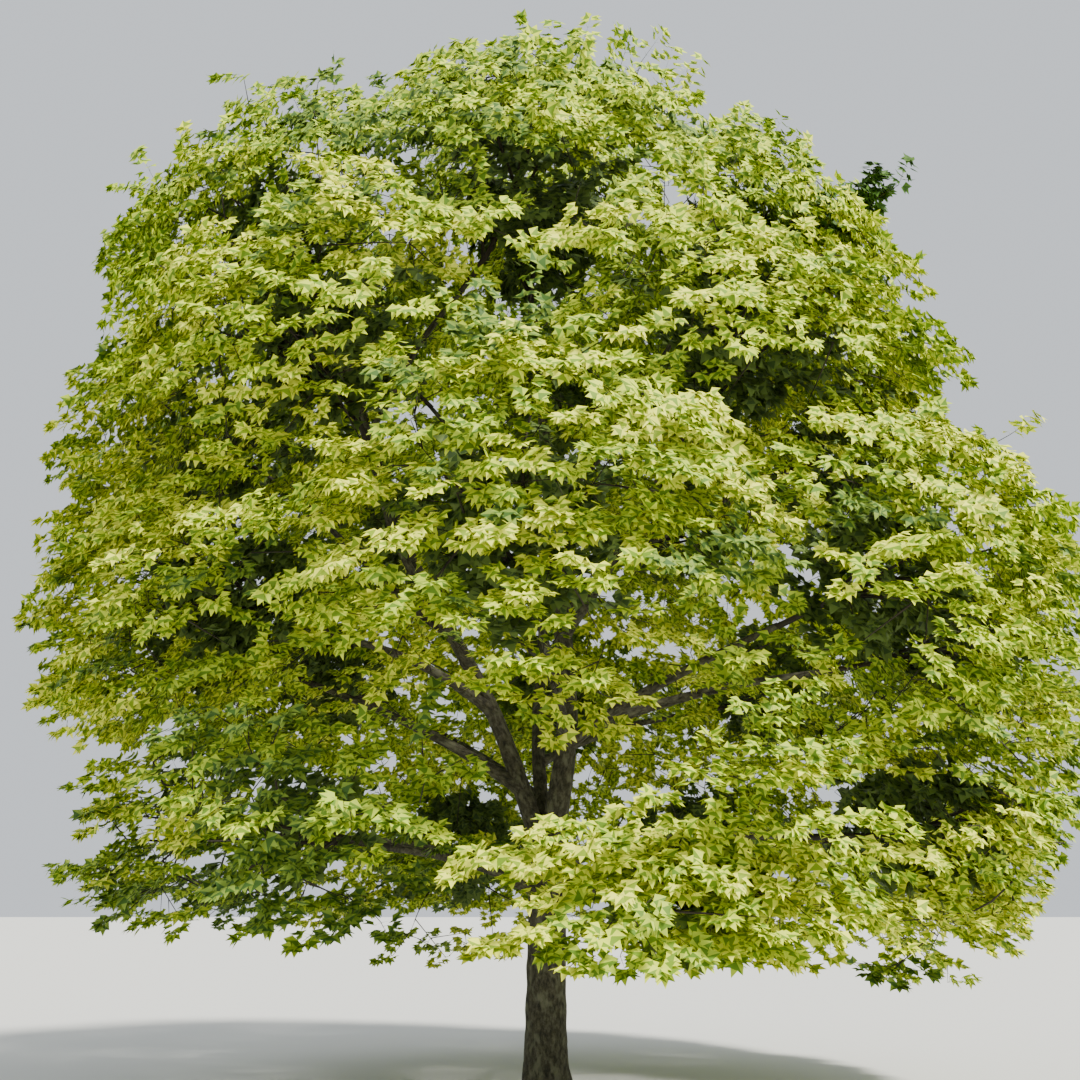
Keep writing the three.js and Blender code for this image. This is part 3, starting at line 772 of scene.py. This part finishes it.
# %% Even places over the outline of the whole head
FANS_ON_METRE = 3.2
PLACE_JITTER = 0.11
OUTLINE_SEED = 4242
OUTLINE_BANDS = 600


def outline_places(rng):
    heights = np.linspace(HEAD_FOOT, TREE_HEIGHT, OUTLINE_BANDS)
    drawn_in, level = head_profile(heights)
    radii = HEAD_RADIUS * (1 - drawn_in) * np.sqrt(1 - level**2)
    bands = np.hypot(np.diff(heights), np.diff(radii)) * (radii[1:] + radii[:-1]) * math.pi
    area = np.concatenate([[0], np.cumsum(bands)])
    count = round(area[-1] * FANS_ON_METRE)
    z = np.interp((np.arange(count) + 0.5) / count * area[-1], area, heights)
    turn = np.arange(count) * GOLDEN_ANGLE
    radius = np.interp(z, heights, radii) * (1 + FULLER_TO_RIGHT * np.cos(turn))
    radius -= flattened_by(turn, z)
    places = np.stack([radius * np.cos(turn), radius * np.sin(turn), z], axis=-1)
    return places + rng.normal(0, PLACE_JITTER, places.shape)


# %% Each of those places goes to the mass whose centre is nearest
outline = outline_places(np.random.default_rng(OUTLINE_SEED))
centres = np.array([space.centre for space in spaces])
owners = norms(outline[:, None] - centres).argmin(axis=1)
for i, space in enumerate(spaces):
    space.outline = outline[owners == i]
fewest = min(len(space.outline) for space in spaces)
print(len(outline), "fans on the outline, at least", fewest, "to a mass")

# %% The outer fans of one mass: a middle and a way out for each
ROOMINESS = 1.08
DEEPEST_NOTCH = 0.34
FOOT_OF_OUTLINE = -0.25  # below it a mass keeps its own shape
FAN_INSET = (0.24, 0.62)


def outer_fans(space, rng):
    places = space.outline + levelled(space.outline) * standing_out_at(space, space.outline[:, 2:])
    distance = norms(places - space.centre)
    ways = unit(places - space.centre)
    own_shape = egg_reach(space, ways) * ROOMINESS
    notched = np.where(ways[:, 2] > FOOT_OF_OUTLINE, distance - DEEPEST_NOTCH, 0)
    far = np.minimum(distance, np.maximum(own_shape, notched)) - rng.uniform(*FAN_INSET, len(ways))
    return space.centre + ways * far[:, None], ways


# %% The deeper fans, where the mass faces its neighbours, the trunk or the ground
DEEP_FANS_ON_METRE = 1.1
SEAM_INSET = 0.2
DEEP_FROM = (0.1, 0.3, 0.7, 2.2)
DEEP_KEPT = (0, 0.35, 1, 0.14)


def deep_fans(space, rng):
    ways = even_directions(round(egg_area(space.half) * DEEP_FANS_ON_METRE), rng)
    far = np.minimum(egg_reach(space, ways) * ROOMINESS, wall_reach(space, ways)) - SEAM_INSET
    middles = space.centre + ways * far[:, None]
    depth = depth_in_head(middles) + standing_out_at(space, middles[:, 2])
    chance = np.interp(depth, DEEP_FROM, DEEP_KEPT)
    kept = rng.uniform(size=len(ways)) < chance
    return middles[kept], ways[kept]


# %% All the fans of one mass: a middle, a level way out and a slope for each
OPEN_KEPT = 0.56
FAN_SLOPE = (math.radians(14), math.radians(46))
SLOPE_HEIGHTS = (1.5, 8)
OWN_WAY_SHARE = 0.5  # away from the mass's centre
HEAD_WAY_SHARE = 0.7  # away from the trunk
FAN_JITTER = 0.14


def fans_of(space, rng):
    middles, ways = (np.vstack(rows) for rows in zip(outer_fans(space, rng), deep_fans(space, rng)))
    kept = rng.uniform(size=len(ways)) < (1 if space.dense else OPEN_KEPT)
    middles, ways = middles[kept], ways[kept]
    out = levelled(ways * OWN_WAY_SHARE + levelled(middles) * HEAD_WAY_SHARE)
    out += rng.normal(0, FAN_JITTER, ways.shape)
    slope = np.interp(middles[:, 2], SLOPE_HEIGHTS, FAN_SLOPE)
    slope += rng.normal(0, FAN_JITTER, len(middles))
    return middles, levelled(out), slope[:, None]


# %% The shoots of those fans
SHOOTS_IN_FAN = 7
FAN_SIZES = (0.7, 1.2)
FAN_HALF_WIDTH = 0.37
FAN_HALF_DEPTH = 0.22
FAN_BOW = 0.13
FAN_RAGGEDNESS = 0.06
SHOOT_LENGTH = (0.17, 0.29)
SHOOT_DOWN = 0.8
SHOOT_ASIDE = 0.9
SHOOT_UP = 0.05
SHOOT_JITTER = 0.22
LEADERS = 3
LEADER_HEIGHTS = (5.5, 8.4)
LEADER_SHARES = (0.1, 0.45)
LEADER_LENGTH = 1.35
LEADER_CLIMB = 0.8
LEAF_TURNED_OUT = math.radians(13)


def fan_shoots(space, rng):
    middles, out, slope = fans_of(space, rng)
    side = np.cross(UP, out)
    down = out * np.cos(slope) - UP * np.sin(slope)
    square = out * np.sin(slope) + UP * np.cos(slope)
    face = out * np.sin(slope + LEAF_TURNED_OUT) + UP * np.cos(slope + LEAF_TURNED_OUT)
    size = rng.uniform(*FAN_SIZES, (len(middles), 1))
    leading = np.interp(middles[:, 2:], LEADER_HEIGHTS, LEADER_SHARES)
    has_leaders = rng.uniform(size=leading.shape) < leading
    rows = []
    for k in range(SHOOTS_IN_FAN):
        far = math.sqrt((k + 0.5) / SHOOTS_IN_FAN)
        turn = rng.uniform(0, 0.6, (len(middles), 1)) + k * GOLDEN_ANGLE
        aside = far * np.cos(turn)
        ahead = far * np.sin(turn)
        place = middles + size * (side * aside * FAN_HALF_WIDTH + down * ahead * FAN_HALF_DEPTH)
        place += square * (rng.normal(0, FAN_RAGGEDNESS, aside.shape) - FAN_BOW * aside**2)
        heading = down * SHOOT_DOWN + side * aside * SHOOT_ASIDE + square * SHOOT_UP
        heading = shaken(heading, SHOOT_JITTER, rng)
        leader = has_leaders & (k < LEADERS)
        heading = np.where(leader, unit(heading * 0.5 + UP * LEADER_CLIMB), heading)
        length = rng.uniform(*SHOOT_LENGTH, aside.shape) * np.where(leader, LEADER_LENGTH, 1)
        rows.append((place, place + heading * length, face, np.arange(len(middles))))
    return [np.concatenate(column) for column in zip(*rows)]


# %% The single shoots inside, in the shade of the fans
INNER_ON_METRE = 2.7
INNER_INSET = (0.75, 1.5)
INNER_DEPTH = (1.6, 3.2)
INNER_DEEPEST_KEPT = 0.12
INNER_OPEN_KEPT = 0.3
INNER_NEAREST = 0.25
HEADING_JITTER = 0.25
INNER_FACE_JITTER = 0.2


def inner_shoots(space, rng):
    count = round(egg_area(space.half) * INNER_ON_METRE)
    directions = even_directions(count, rng)
    limits = reach(space, directions)
    far = np.maximum(limits - rng.uniform(*INNER_INSET, count), limits * INNER_NEAREST)
    places = space.centre + directions * far[:, None]
    chance = np.interp(depth_in_head(places), INNER_DEPTH, (1, INNER_DEEPEST_KEPT))
    chance *= 1 if space.dense else INNER_OPEN_KEPT
    kept = rng.uniform(size=count) < chance
    places, directions = places[kept], directions[kept]
    flat = levelled(places)
    headings = shaken(directions * 0.6 + flat * 0.5, HEADING_JITTER, rng)
    tips = places + headings * rng.uniform(*SHOOT_LENGTH, (len(places), 1))
    return places, tips, shaken(flat * 0.6 + UP * 0.6, INNER_FACE_JITTER, rng)


# %% Leafy side shoots on the bough itself
SIDE_SHOOTS = 12
SIDE_SHARES = (0.4, 0.98)
SIDE_REACH = (0.1, 0.42)
SIDE_RISE = (-0.6, 0.6)
SIDE_FACE_JITTER = 0.25


def side_shoots(wood, rng):
    shares = rng.uniform(*SIDE_SHARES, SIDE_SHOOTS)
    headings = wood.heading(shares)
    hands = rng.choice([-1, 1], (SIDE_SHOOTS, 1))
    aside = unit(np.cross(headings, UP) * hands + UP * rng.uniform(*SIDE_RISE, (SIDE_SHOOTS, 1)))
    places = wood.at(shares) + aside * rng.uniform(*SIDE_REACH, (SIDE_SHOOTS, 1))
    tips = places + unit(headings * 0.8 + aside * 0.7) * rng.uniform(*SHOOT_LENGTH, (SIDE_SHOOTS, 1))
    return places, tips, shaken(UP * 0.8 + headings * 0.4, SIDE_FACE_JITTER, rng)


# %% [markdown]
# ## The reverted sprig
# A variegated tree now and then grows a branch that has gone back to the wild kind, all green and
# stronger than the rest. This one has such a sprig high on the right, a little out of the outline.

# %% The shoots of the sprig
SPRIG_MASS = "upper_foliage_3"
SPRIG_FOOT = np.array([1.95, -1.5, 6.95])
SPRIG_TIP = np.array([2.82, -1.65, 7.42])
SPRIG_SHOOTS = 44
SPRIG_SPREAD = 0.11


def sprig_shoots(rng):
    along = np.linspace(0, 1, SPRIG_SHOOTS)[:, None]
    stem = SPRIG_TIP - SPRIG_FOOT
    places = SPRIG_FOOT + stem * along + rng.normal(0, SPRIG_SPREAD, (SPRIG_SHOOTS, 3))
    headings = unit(unit(stem) * 0.7 + rng.normal(0, 0.45, places.shape))
    tips = places + headings * rng.uniform(*SHOOT_LENGTH, (SPRIG_SHOOTS, 1))
    return places, tips, unit(UP * 0.7 + [0.2, -0.5, 0] + rng.normal(0, 0.2, places.shape))


# %% [markdown]
# ## Twigs
# The finer twigs are grown one shoot at a time, the nearest first. Each looks for the wood that it
# can reach by the shortest and straightest way, and bends round to its own place. Later twigs can
# branch from earlier ones, and that gives the ever finer forking of a real branch.

# %% Keeping the tips near the tree's outline
HIGHEST_TIP = 9.06
STANDING_PROUD = 0.04  # how far a tip may pass the outline
LOW_PROUD = 0.16  # and, low down, its mass's own shape


def kept_within(space, tips):
    directions = unit(tips - space.centre)
    outside = -standing_out_at(space, tips[:, 2]) - STANDING_PROUD - depth_in_head(tips)
    tips = tips - directions * np.maximum(0, outside)[:, None]
    distance = norms(tips - space.centre)
    under = directions[:, 2] < FOOT_OF_OUTLINE
    limit = np.where(under, egg_reach(space, directions) * ROOMINESS + LOW_PROUD, np.inf)
    tips = space.centre + directions * np.minimum(distance, limit)[:, None]
    return np.minimum(tips, [np.inf, np.inf, HIGHEST_TIP])


# %% Growing the twigs of one mass
TURN_COST = 0.7
STEM_SHARES = np.linspace(0.35, 1, 14)
RIB_SHARES = np.linspace(0.08, 1, 14)


def grow_twigs(places, tips, stem, ribs, wood):
    nodes = np.vstack([stem, wood.at(STEM_SHARES), *(rib.at(RIB_SHARES) for rib in ribs)])
    rib_ways = [rib.heading(RIB_SHARES) for rib in ribs]
    leaving = np.vstack([unit(np.gradient(stem, axis=0)), wood.heading(STEM_SHARES), *rib_ways])
    nearest = norms(places[:, None] - nodes[None]).min(axis=1)
    feet = np.zeros_like(places)
    for i in np.argsort(nearest):
        gap = places[i] - nodes
        far = np.maximum(norms(gap), 0.02)
        straight = np.sum(gap * leaving, axis=1) / far
        best = np.argmin(far * (1 + TURN_COST * (1 - straight)))
        heading = unit(tips[i] - places[i])
        feet[i] = nodes[best]
        nodes = np.vstack([nodes, (nodes[best] + places[i]) / 2, places[i], (places[i] + tips[i]) / 2])
        way = unit(places[i] - nodes[best])
        leaving = np.vstack([leaving, way, heading, heading])
    return np.stack([feet, places, tips], axis=1)


# %% [markdown]
# ## Twigs as meshes
# From a few steps away a twig is a dark line, so three sides are enough. Each narrows to a point,
# and its open foot is closed by one more triangle inside the wood that it grows from.


# %% Three-sided twigs, from rows of points
NEARLY_UPRIGHT = 0.85


def twig_mesh(lines, radii):
    count, steps, _ = lines.shape
    way = unit(lines[:, -1] - lines[:, 0])
    reference = np.where(np.abs(way[:, 2:]) > NEARLY_UPRIGHT, RIGHT, UP)
    headings = unit(np.gradient(lines, axis=1))
    side = unit(np.cross(headings, reference[:, None]))
    other = np.cross(headings, side)
    turns = np.arange(3) * 2 * math.pi / 3
    ring = side[:, :, None] * np.cos(turns)[:, None] + other[:, :, None] * np.sin(turns)[:, None]
    points = lines[:, :-1, None] + ring[:, :-1] * radii[:, :-1, None, None]
    points = np.concatenate([points.reshape(count, -1, 3), lines[:, -1:]], axis=1)
    faces = [(2, 1, 0)]
    for step in range(steps - 2):
        for k in range(3):
            a, b = step * 3 + k, step * 3 + (k + 1) % 3
            faces += [(a, b, b + 3), (a, b + 3, a + 3)]
    last = (steps - 2) * 3
    faces += [(last + k, last + (k + 1) % 3, last + 3) for k in range(3)]
    triangles = np.arange(count)[:, None, None] * points.shape[1] + np.array(faces)
    return points.reshape(-1, 3), triangles.reshape(-1, 3)


# %% [markdown]
# ## One leaf
# A maple leaf has five pointed lobes on veins that spread from the foot of the blade. In this
# cultivated form the middle is green, and the lobes have a wide cream margin. Each leaf is a small
# mesh in its own outline. Green runs out along the veins in three triangles, and three pale ones
# are the margins between them. The leaves inside show only as dark shapes, and make do with three
# lobes.

# %% The blade of a leaf, from its foot at 0 to its tip at 1
LOW_TIP = (-0.06, 0.45)
SIDE_TIP = (0.66, 0.62)
SIDE_NOTCH = (0.53, 0.23)
SHADE_TIP = (0.42, 0.62)
SHADE_NOTCH = (0.5, 0.3)


def blade(half, middle_faces, lobe_faces):
    points = np.array([(0, 0), (1, 0), *half, *((x, -y) for x, y in half)])
    stalk_face = (len(points), len(points) + 1, 0)
    faces = np.array([*middle_faces, *lobe_faces, stalk_face])
    marks = np.array([0] * len(middle_faces) + [1] * len(lobe_faces) + [0])
    return SimpleNamespace(points=points, faces=faces, marks=marks)


LIT_BLADE = blade(
    [LOW_TIP, SIDE_TIP, SIDE_NOTCH],
    middle_faces=[(0, 7, 4), (0, 4, 3), (0, 6, 7)],
    lobe_faces=[(0, 3, 2), (0, 5, 6), (4, 7, 1)],
)
SHADE_BLADE = blade(
    [SHADE_TIP, SHADE_NOTCH],
    middle_faces=[(0, 5, 3)],
    lobe_faces=[(0, 3, 2), (0, 4, 5), (3, 5, 1)],
)
print("A lit leaf has", len(LIT_BLADE.faces), "triangles, and one inside has", len(SHADE_BLADE.faces))


# %% [markdown]
# ## A spray of leaves
# Leaves stand on the shoot in opposite pairs, on stalks that turn every blade up to the light, and
# one more ends the shoot. All shoots are worked out at once: a row for each shoot, a column for
# each leaf.

# %% Leaves of many shoots at once
PAIRS_AT = (0.05, 0.26, 0.46, 0.65, 0.82, 0.96)
PAIR_SPREAD = (80, 72, 66, 58, 50, 34)
STALKS = (0.06, 0.055, 0.05, 0.045, 0.035, 0.025)
LEAF_LENGTH = (0.074, 0.102)
SHADE_LEAF_GROWTH = 1.4
LEAVES_ON_SHOOT = 2 * len(PAIRS_AT) + 1
END_STALK = 0.01
TWIST = 0.12
SPREAD_JITTER = 10
STALK_LIFT = (0, 0.7)
STALK_SHARES = (0.6, 1.4)
FACE_JITTER = 0.32
HANG = (0.1, 0.8)


def square_to(rows, normals):
    return unit(rows - np.sum(rows * normals, axis=-1, keepdims=True) * normals)


def leaf_rows(shoots, growth, rng):
    """For each shoot, its leaves' stalk feet, blade feet, directions, faces and lengths."""
    count = len(shoots.places)
    along = shoots.tips - shoots.places
    heading = unit(along)
    face = square_to(shoots.faces + rng.normal(0, TWIST, along.shape), heading)
    across = np.cross(face, heading)
    pairs = list(zip(PAIRS_AT, PAIR_SPREAD, STALKS))
    plan = [(at, hand * spread, stalk) for at, spread, stalk in pairs for hand in (1, -1)]
    plan.append((1.0, 0, END_STALK))
    columns = []
    for at, spread, stalk in plan:
        turn = np.radians(spread + rng.normal(0, SPREAD_JITTER, (count, 1)))
        foot = shoots.places + along * at
        out = heading * np.cos(turn) + across * np.sin(turn)
        lifted = unit(out + face * rng.uniform(*STALK_LIFT, (count, 1)))
        base = foot + lifted * stalk * rng.uniform(*STALK_SHARES, (count, 1))
        normal = shaken(shoots.faces, FACE_JITTER, rng)
        way = square_to(out - UP * rng.uniform(*HANG, (count, 1)), normal)
        columns.append((foot, base, way, normal, rng.uniform(*LEAF_LENGTH, count) * growth))
    feet, bases, ways, normals, lengths = (np.stack(column, axis=1) for column in zip(*columns))
    return *(rows.reshape(-1, 3) for rows in (feet, bases, ways, normals)), lengths.ravel()


# %% Those leaves as one mesh
STALK_WIDTH = 0.004
DROOP = (0.0, 0.4)
FOLD = (-0.2, 0.4)


def leaf_mesh(shoots, shape, growth, rng):
    feet, bases, ways, normals, lengths = leaf_rows(shoots, growth, rng)
    count = len(feet)
    across = np.cross(normals, ways)
    droop = rng.uniform(*DROOP, (count, 1))
    fold = rng.uniform(*FOLD, (count, 1))
    x, y = shape.points[:, 0], shape.points[:, 1]
    lift = fold * np.abs(y) - droop * x**2
    local = x[:, None] * ways[:, None] + y[:, None] * across[:, None]
    local += lift[:, :, None] * normals[:, None]
    blades = bases[:, None] + local * lengths[:, None, None]
    stalk_side = feet + across * STALK_WIDTH
    points = np.concatenate([blades, feet[:, None], stalk_side[:, None]], axis=1)
    triangles = np.arange(count)[:, None, None] * points.shape[1] + shape.faces
    indices = np.repeat(shoots.tints, LEAVES_ON_SHOOT)[:, None] * 2 + shape.marks
    return points.reshape(-1, 3), triangles.reshape(-1, 3), indices.ravel()


# %% [markdown]
# ## Leaf colours
# In the sun the margins are a warm cream-yellow and the middles a yellow-green. Leaves in the shade
# hold more green, and the reverted sprig has the plain deep green of the wild tree. The darker greens
# of the shade pair are partly painted shade, and the dark greens of the leaves inside the head are
# painted shade, for the shade that they lie in. Each fan is dealt one pair of colours, a middle and a
# margin, and a few of its shoots take another.

# %% The pairs of leaf colours
LEAF_PAIRS = [
    ("cream", (138, 164, 36), (234, 238, 80)),
    ("lime", (118, 150, 34), (212, 226, 62)),
    ("fresh", (98, 132, 36), (184, 204, 58)),
    # partly painted shade: darker greens, dealt mostly on the open lower side, which lies in shade
    ("shade", (70, 102, 42), (132, 156, 58)),
    # painted shade: dark greens for the leaves inside the head, which lie in shade
    ("inner", (64, 86, 44), (102, 122, 56)),
    ("plain", (56, 88, 24), (76, 110, 32)),
]
# the pair of painted shade, given to the leaves inside
PAINTED_SHADE_PAIR = 4
PLAIN_PAIR = 5
SUNNY_DEAL = (0.38, 0.36, 0.21, 0.05)
HIGH_DEAL = (0.05, 0.33, 0.46, 0.16)  # in full sun, greener leaves look as pale
# painted shade: the low masses on the open side lie in shade and are dealt greener, darker pairs
OPEN_SIDE_PAINTED_SHADE_DEAL = (0.04, 0.14, 0.36, 0.46)
OWN_TINT_SHARE = 0.3
LEAF_GLOSS = 0.2
LEAF_ROUGHNESS = 0.6


def leaf_materials():
    made = []
    for name, *pair in LEAF_PAIRS:
        for part, base in zip(("middle", "margin"), pair):
            finish = plain_material(f"leaf_{name}_{part}", colour(*base), LEAF_ROUGHNESS, LEAF_GLOSS)
            made.append(finish)
    return made


leaf_finish = leaf_materials()
twig_finish = plain_material("twig_bark", colour(58, 50, 38), 0.85)


# %% Dealing the pairs out by fan
def deal_tints(space, fan, rng):
    high = space.tier in ("upper", "top")
    # the masses low on the open side take the deal of painted shade
    deal = HIGH_DEAL if high else SUNNY_DEAL if space.dense else OPEN_SIDE_PAINTED_SHADE_DEAL
    by_fan = rng.choice(len(deal), size=fan.max() + 1, p=deal)
    own = rng.choice(len(deal), size=len(fan), p=deal)
    return np.where(rng.uniform(size=len(fan)) < OWN_TINT_SHARE, own, by_fan[fan])


# %% [markdown]
# ## Growing the masses
# Now every mass is grown. Each tier gives one or two pieces of leaves, and the tree two of twigs,
# so that no piece is too large to handle.

# %% All the shoots of one mass
def trimmed(space, places, tips, faces, tints):
    return places, kept_within(space, tips), faces, tints


def shoots_of(space, wood, rng):
    *fans, fan = fan_shoots(space, rng)
    groups = [trimmed(space, *fans, deal_tints(space, fan, rng))]
    beside = side_shoots(wood, rng)
    groups.append(trimmed(space, *beside, deal_tints(space, np.arange(SIDE_SHOOTS), rng)))
    inside = inner_shoots(space, rng)
    # the shoots inside take the pair of painted shade
    groups.append(trimmed(space, *inside, np.full(len(inside[0]), PAINTED_SHADE_PAIR)))
    if space.name == SPRIG_MASS:
        groups.append((*sprig_shoots(rng), np.full(SPRIG_SHOOTS, PLAIN_PAIR)))
    return [np.concatenate(column) for column in zip(*groups)]


# %% Growing one mass
def chosen_shoots(rows, chosen):
    names = ("places", "tips", "faces", "tints")
    return SimpleNamespace(**{name: column[chosen] for name, column in zip(names, rows)})


def grow_mass(space):
    wood = next(limb for limb in [*main_limbs, *boughs] if limb.space is space)
    rng = np.random.default_rng(space.seed)
    stem, ribs = stem_and_ribs(space, wood)
    rows = shoots_of(space, wood, rng)
    twigs = grow_twigs(rows[0], rows[1], stem, ribs, wood)
    lit = chosen_shoots(rows, rows[3] != PAINTED_SHADE_PAIR)
    shade = chosen_shoots(rows, rows[3] == PAINTED_SHADE_PAIR)
    leaves = [leaf_mesh(lit, LIT_BLADE, 1, rng)]
    leaves.append(leaf_mesh(shade, SHADE_BLADE, SHADE_LEAF_GROWTH, rng))
    return SimpleNamespace(space=space, stem=stem, ribs=ribs, twigs=twigs, leaves=leaves)


masses = [grow_mass(space) for space in spaces]
print(sum(len(mass.twigs) for mass in masses), "shoots")


# %% The leaf pieces
MOST_TRIANGLES = 175000


def leaf_piece(name, chosen):
    grown = [block for mass in chosen for block in mass.leaves]
    points, triangles = joined([block[:2] for block in grown])
    indices = np.concatenate([block[2] for block in grown])
    piece = mesh_piece(name, points, triangles, leaf_finish, indices)
    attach(piece, "root")
    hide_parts(*(mass.space.name for mass in chosen))
    print(name, len(triangles), "triangles")
    return len(triangles)


def in_parts(chosen):
    sizes = np.cumsum([sum(len(block[1]) for block in mass.leaves) for mass in chosen])
    parts = math.ceil(sizes[-1] / MOST_TRIANGLES)
    part_of = np.minimum(parts - 1, (sizes - 1) * parts // sizes[-1])
    return [[mass for mass, part in zip(chosen, part_of) if part == k] for k in range(parts)]


leaf_triangles = 0
for tier_names in (("lower",), ("middle",), ("shoulder",), ("upper", "top")):
    chosen = [mass for mass in masses if mass.space.tier in tier_names]
    for number, part in enumerate(in_parts(chosen), 1):
        leaf_triangles += leaf_piece(f"{tier_names[0]}_leaves_{number}", part)
print(leaf_triangles, "triangles of leaves")


# %% The twig pieces
RIB_STEPS = 7
SHORTEST_TWIG_RADIUS = 0.0035
LONG_TWIG_EXTRA = 0.0055
TWIG_NARROWS_TO = (1, 0.6, 0.2)


def twig_piece(name, chosen):
    blocks = []
    for mass in chosen:
        first = norms(mass.twigs[:, 1] - mass.twigs[:, 0])
        foot = SHORTEST_TWIG_RADIUS + LONG_TWIG_EXTRA * np.minimum(1, first)
        blocks.append(twig_mesh(mass.twigs, foot[:, None] * TWIG_NARROWS_TO))
        shares = np.linspace(0, 1, RIB_STEPS)
        lines = np.array([rib.at(shares) for rib in mass.ribs])
        radii = np.array([rib.radius(shares) for rib in mass.ribs])
        blocks.append(twig_mesh(lines, radii))
        stem = mass.stem[None, ::2]
        blocks.append(twig_mesh(stem, np.linspace(STEM_RADIUS, STEM_TIP, stem.shape[1])[None]))
    points, triangles = joined(blocks)
    piece = mesh_piece(name, points, triangles, [twig_finish])
    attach(piece, "root")
    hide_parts(*(mass.space.name for mass in chosen))
    print(name, len(triangles), "triangles")


LOW_TIERS = ("lower", "middle")
twig_piece("lower_twigs", [mass for mass in masses if mass.space.tier in LOW_TIERS])
twig_piece("upper_twigs", [mass for mass in masses if mass.space.tier not in LOW_TIERS])

# %% [markdown]
# ## The stage
# A plain pale floor, a pale surround that fills the shadows, and one strong soft light high on the
# right, behind the camera, as the sun stood. It gives the masses their lit tops and dark seams.

# %% Floor and light
FLOOR_HALF = 120
FILL = 0.92
SURROUND = 0.95  # as the camera sees it
SURROUND_COLOUR = colour(236, 242, 249)
SUN_STRENGTH = 7.0
SUN_WIDTH = math.radians(8)
SUN_COLOUR = (1, 0.97, 0.9)
SUN_WAY = Vector((-0.52, 0.5, -0.92))


def stage():
    corners = np.array([(-1, -1, 0), (1, -1, 0), (1, 1, 0), (-1, 1, 0)]) * FLOOR_HALF
    finish = plain_material("floor", colour(214, 214, 208), 0.9)
    floor = mesh_piece("floor", corners, np.array([(0, 1, 2), (0, 2, 3)]), [finish])
    world = bpy.data.worlds.new("surround")
    world.use_nodes = True
    sky = world.node_tree.nodes["Background"]
    start = Wire(world.node_tree)
    seen = start.add("ShaderNodeLightPath", output="Is Camera Ray")
    sky.inputs["Color"].default_value = SURROUND_COLOUR
    world.node_tree.links.new((seen * (SURROUND - FILL) + FILL).socket, sky.inputs["Strength"])
    bpy.context.scene.world = world
    key = placed("key", bpy.data.lights.new("key", "SUN"))
    key.data.energy = SUN_STRENGTH
    key.data.angle = SUN_WIDTH
    key.data.color = SUN_COLOUR
    key.rotation_euler = SUN_WAY.to_track_quat("-Z", "Y").to_euler()


stage()
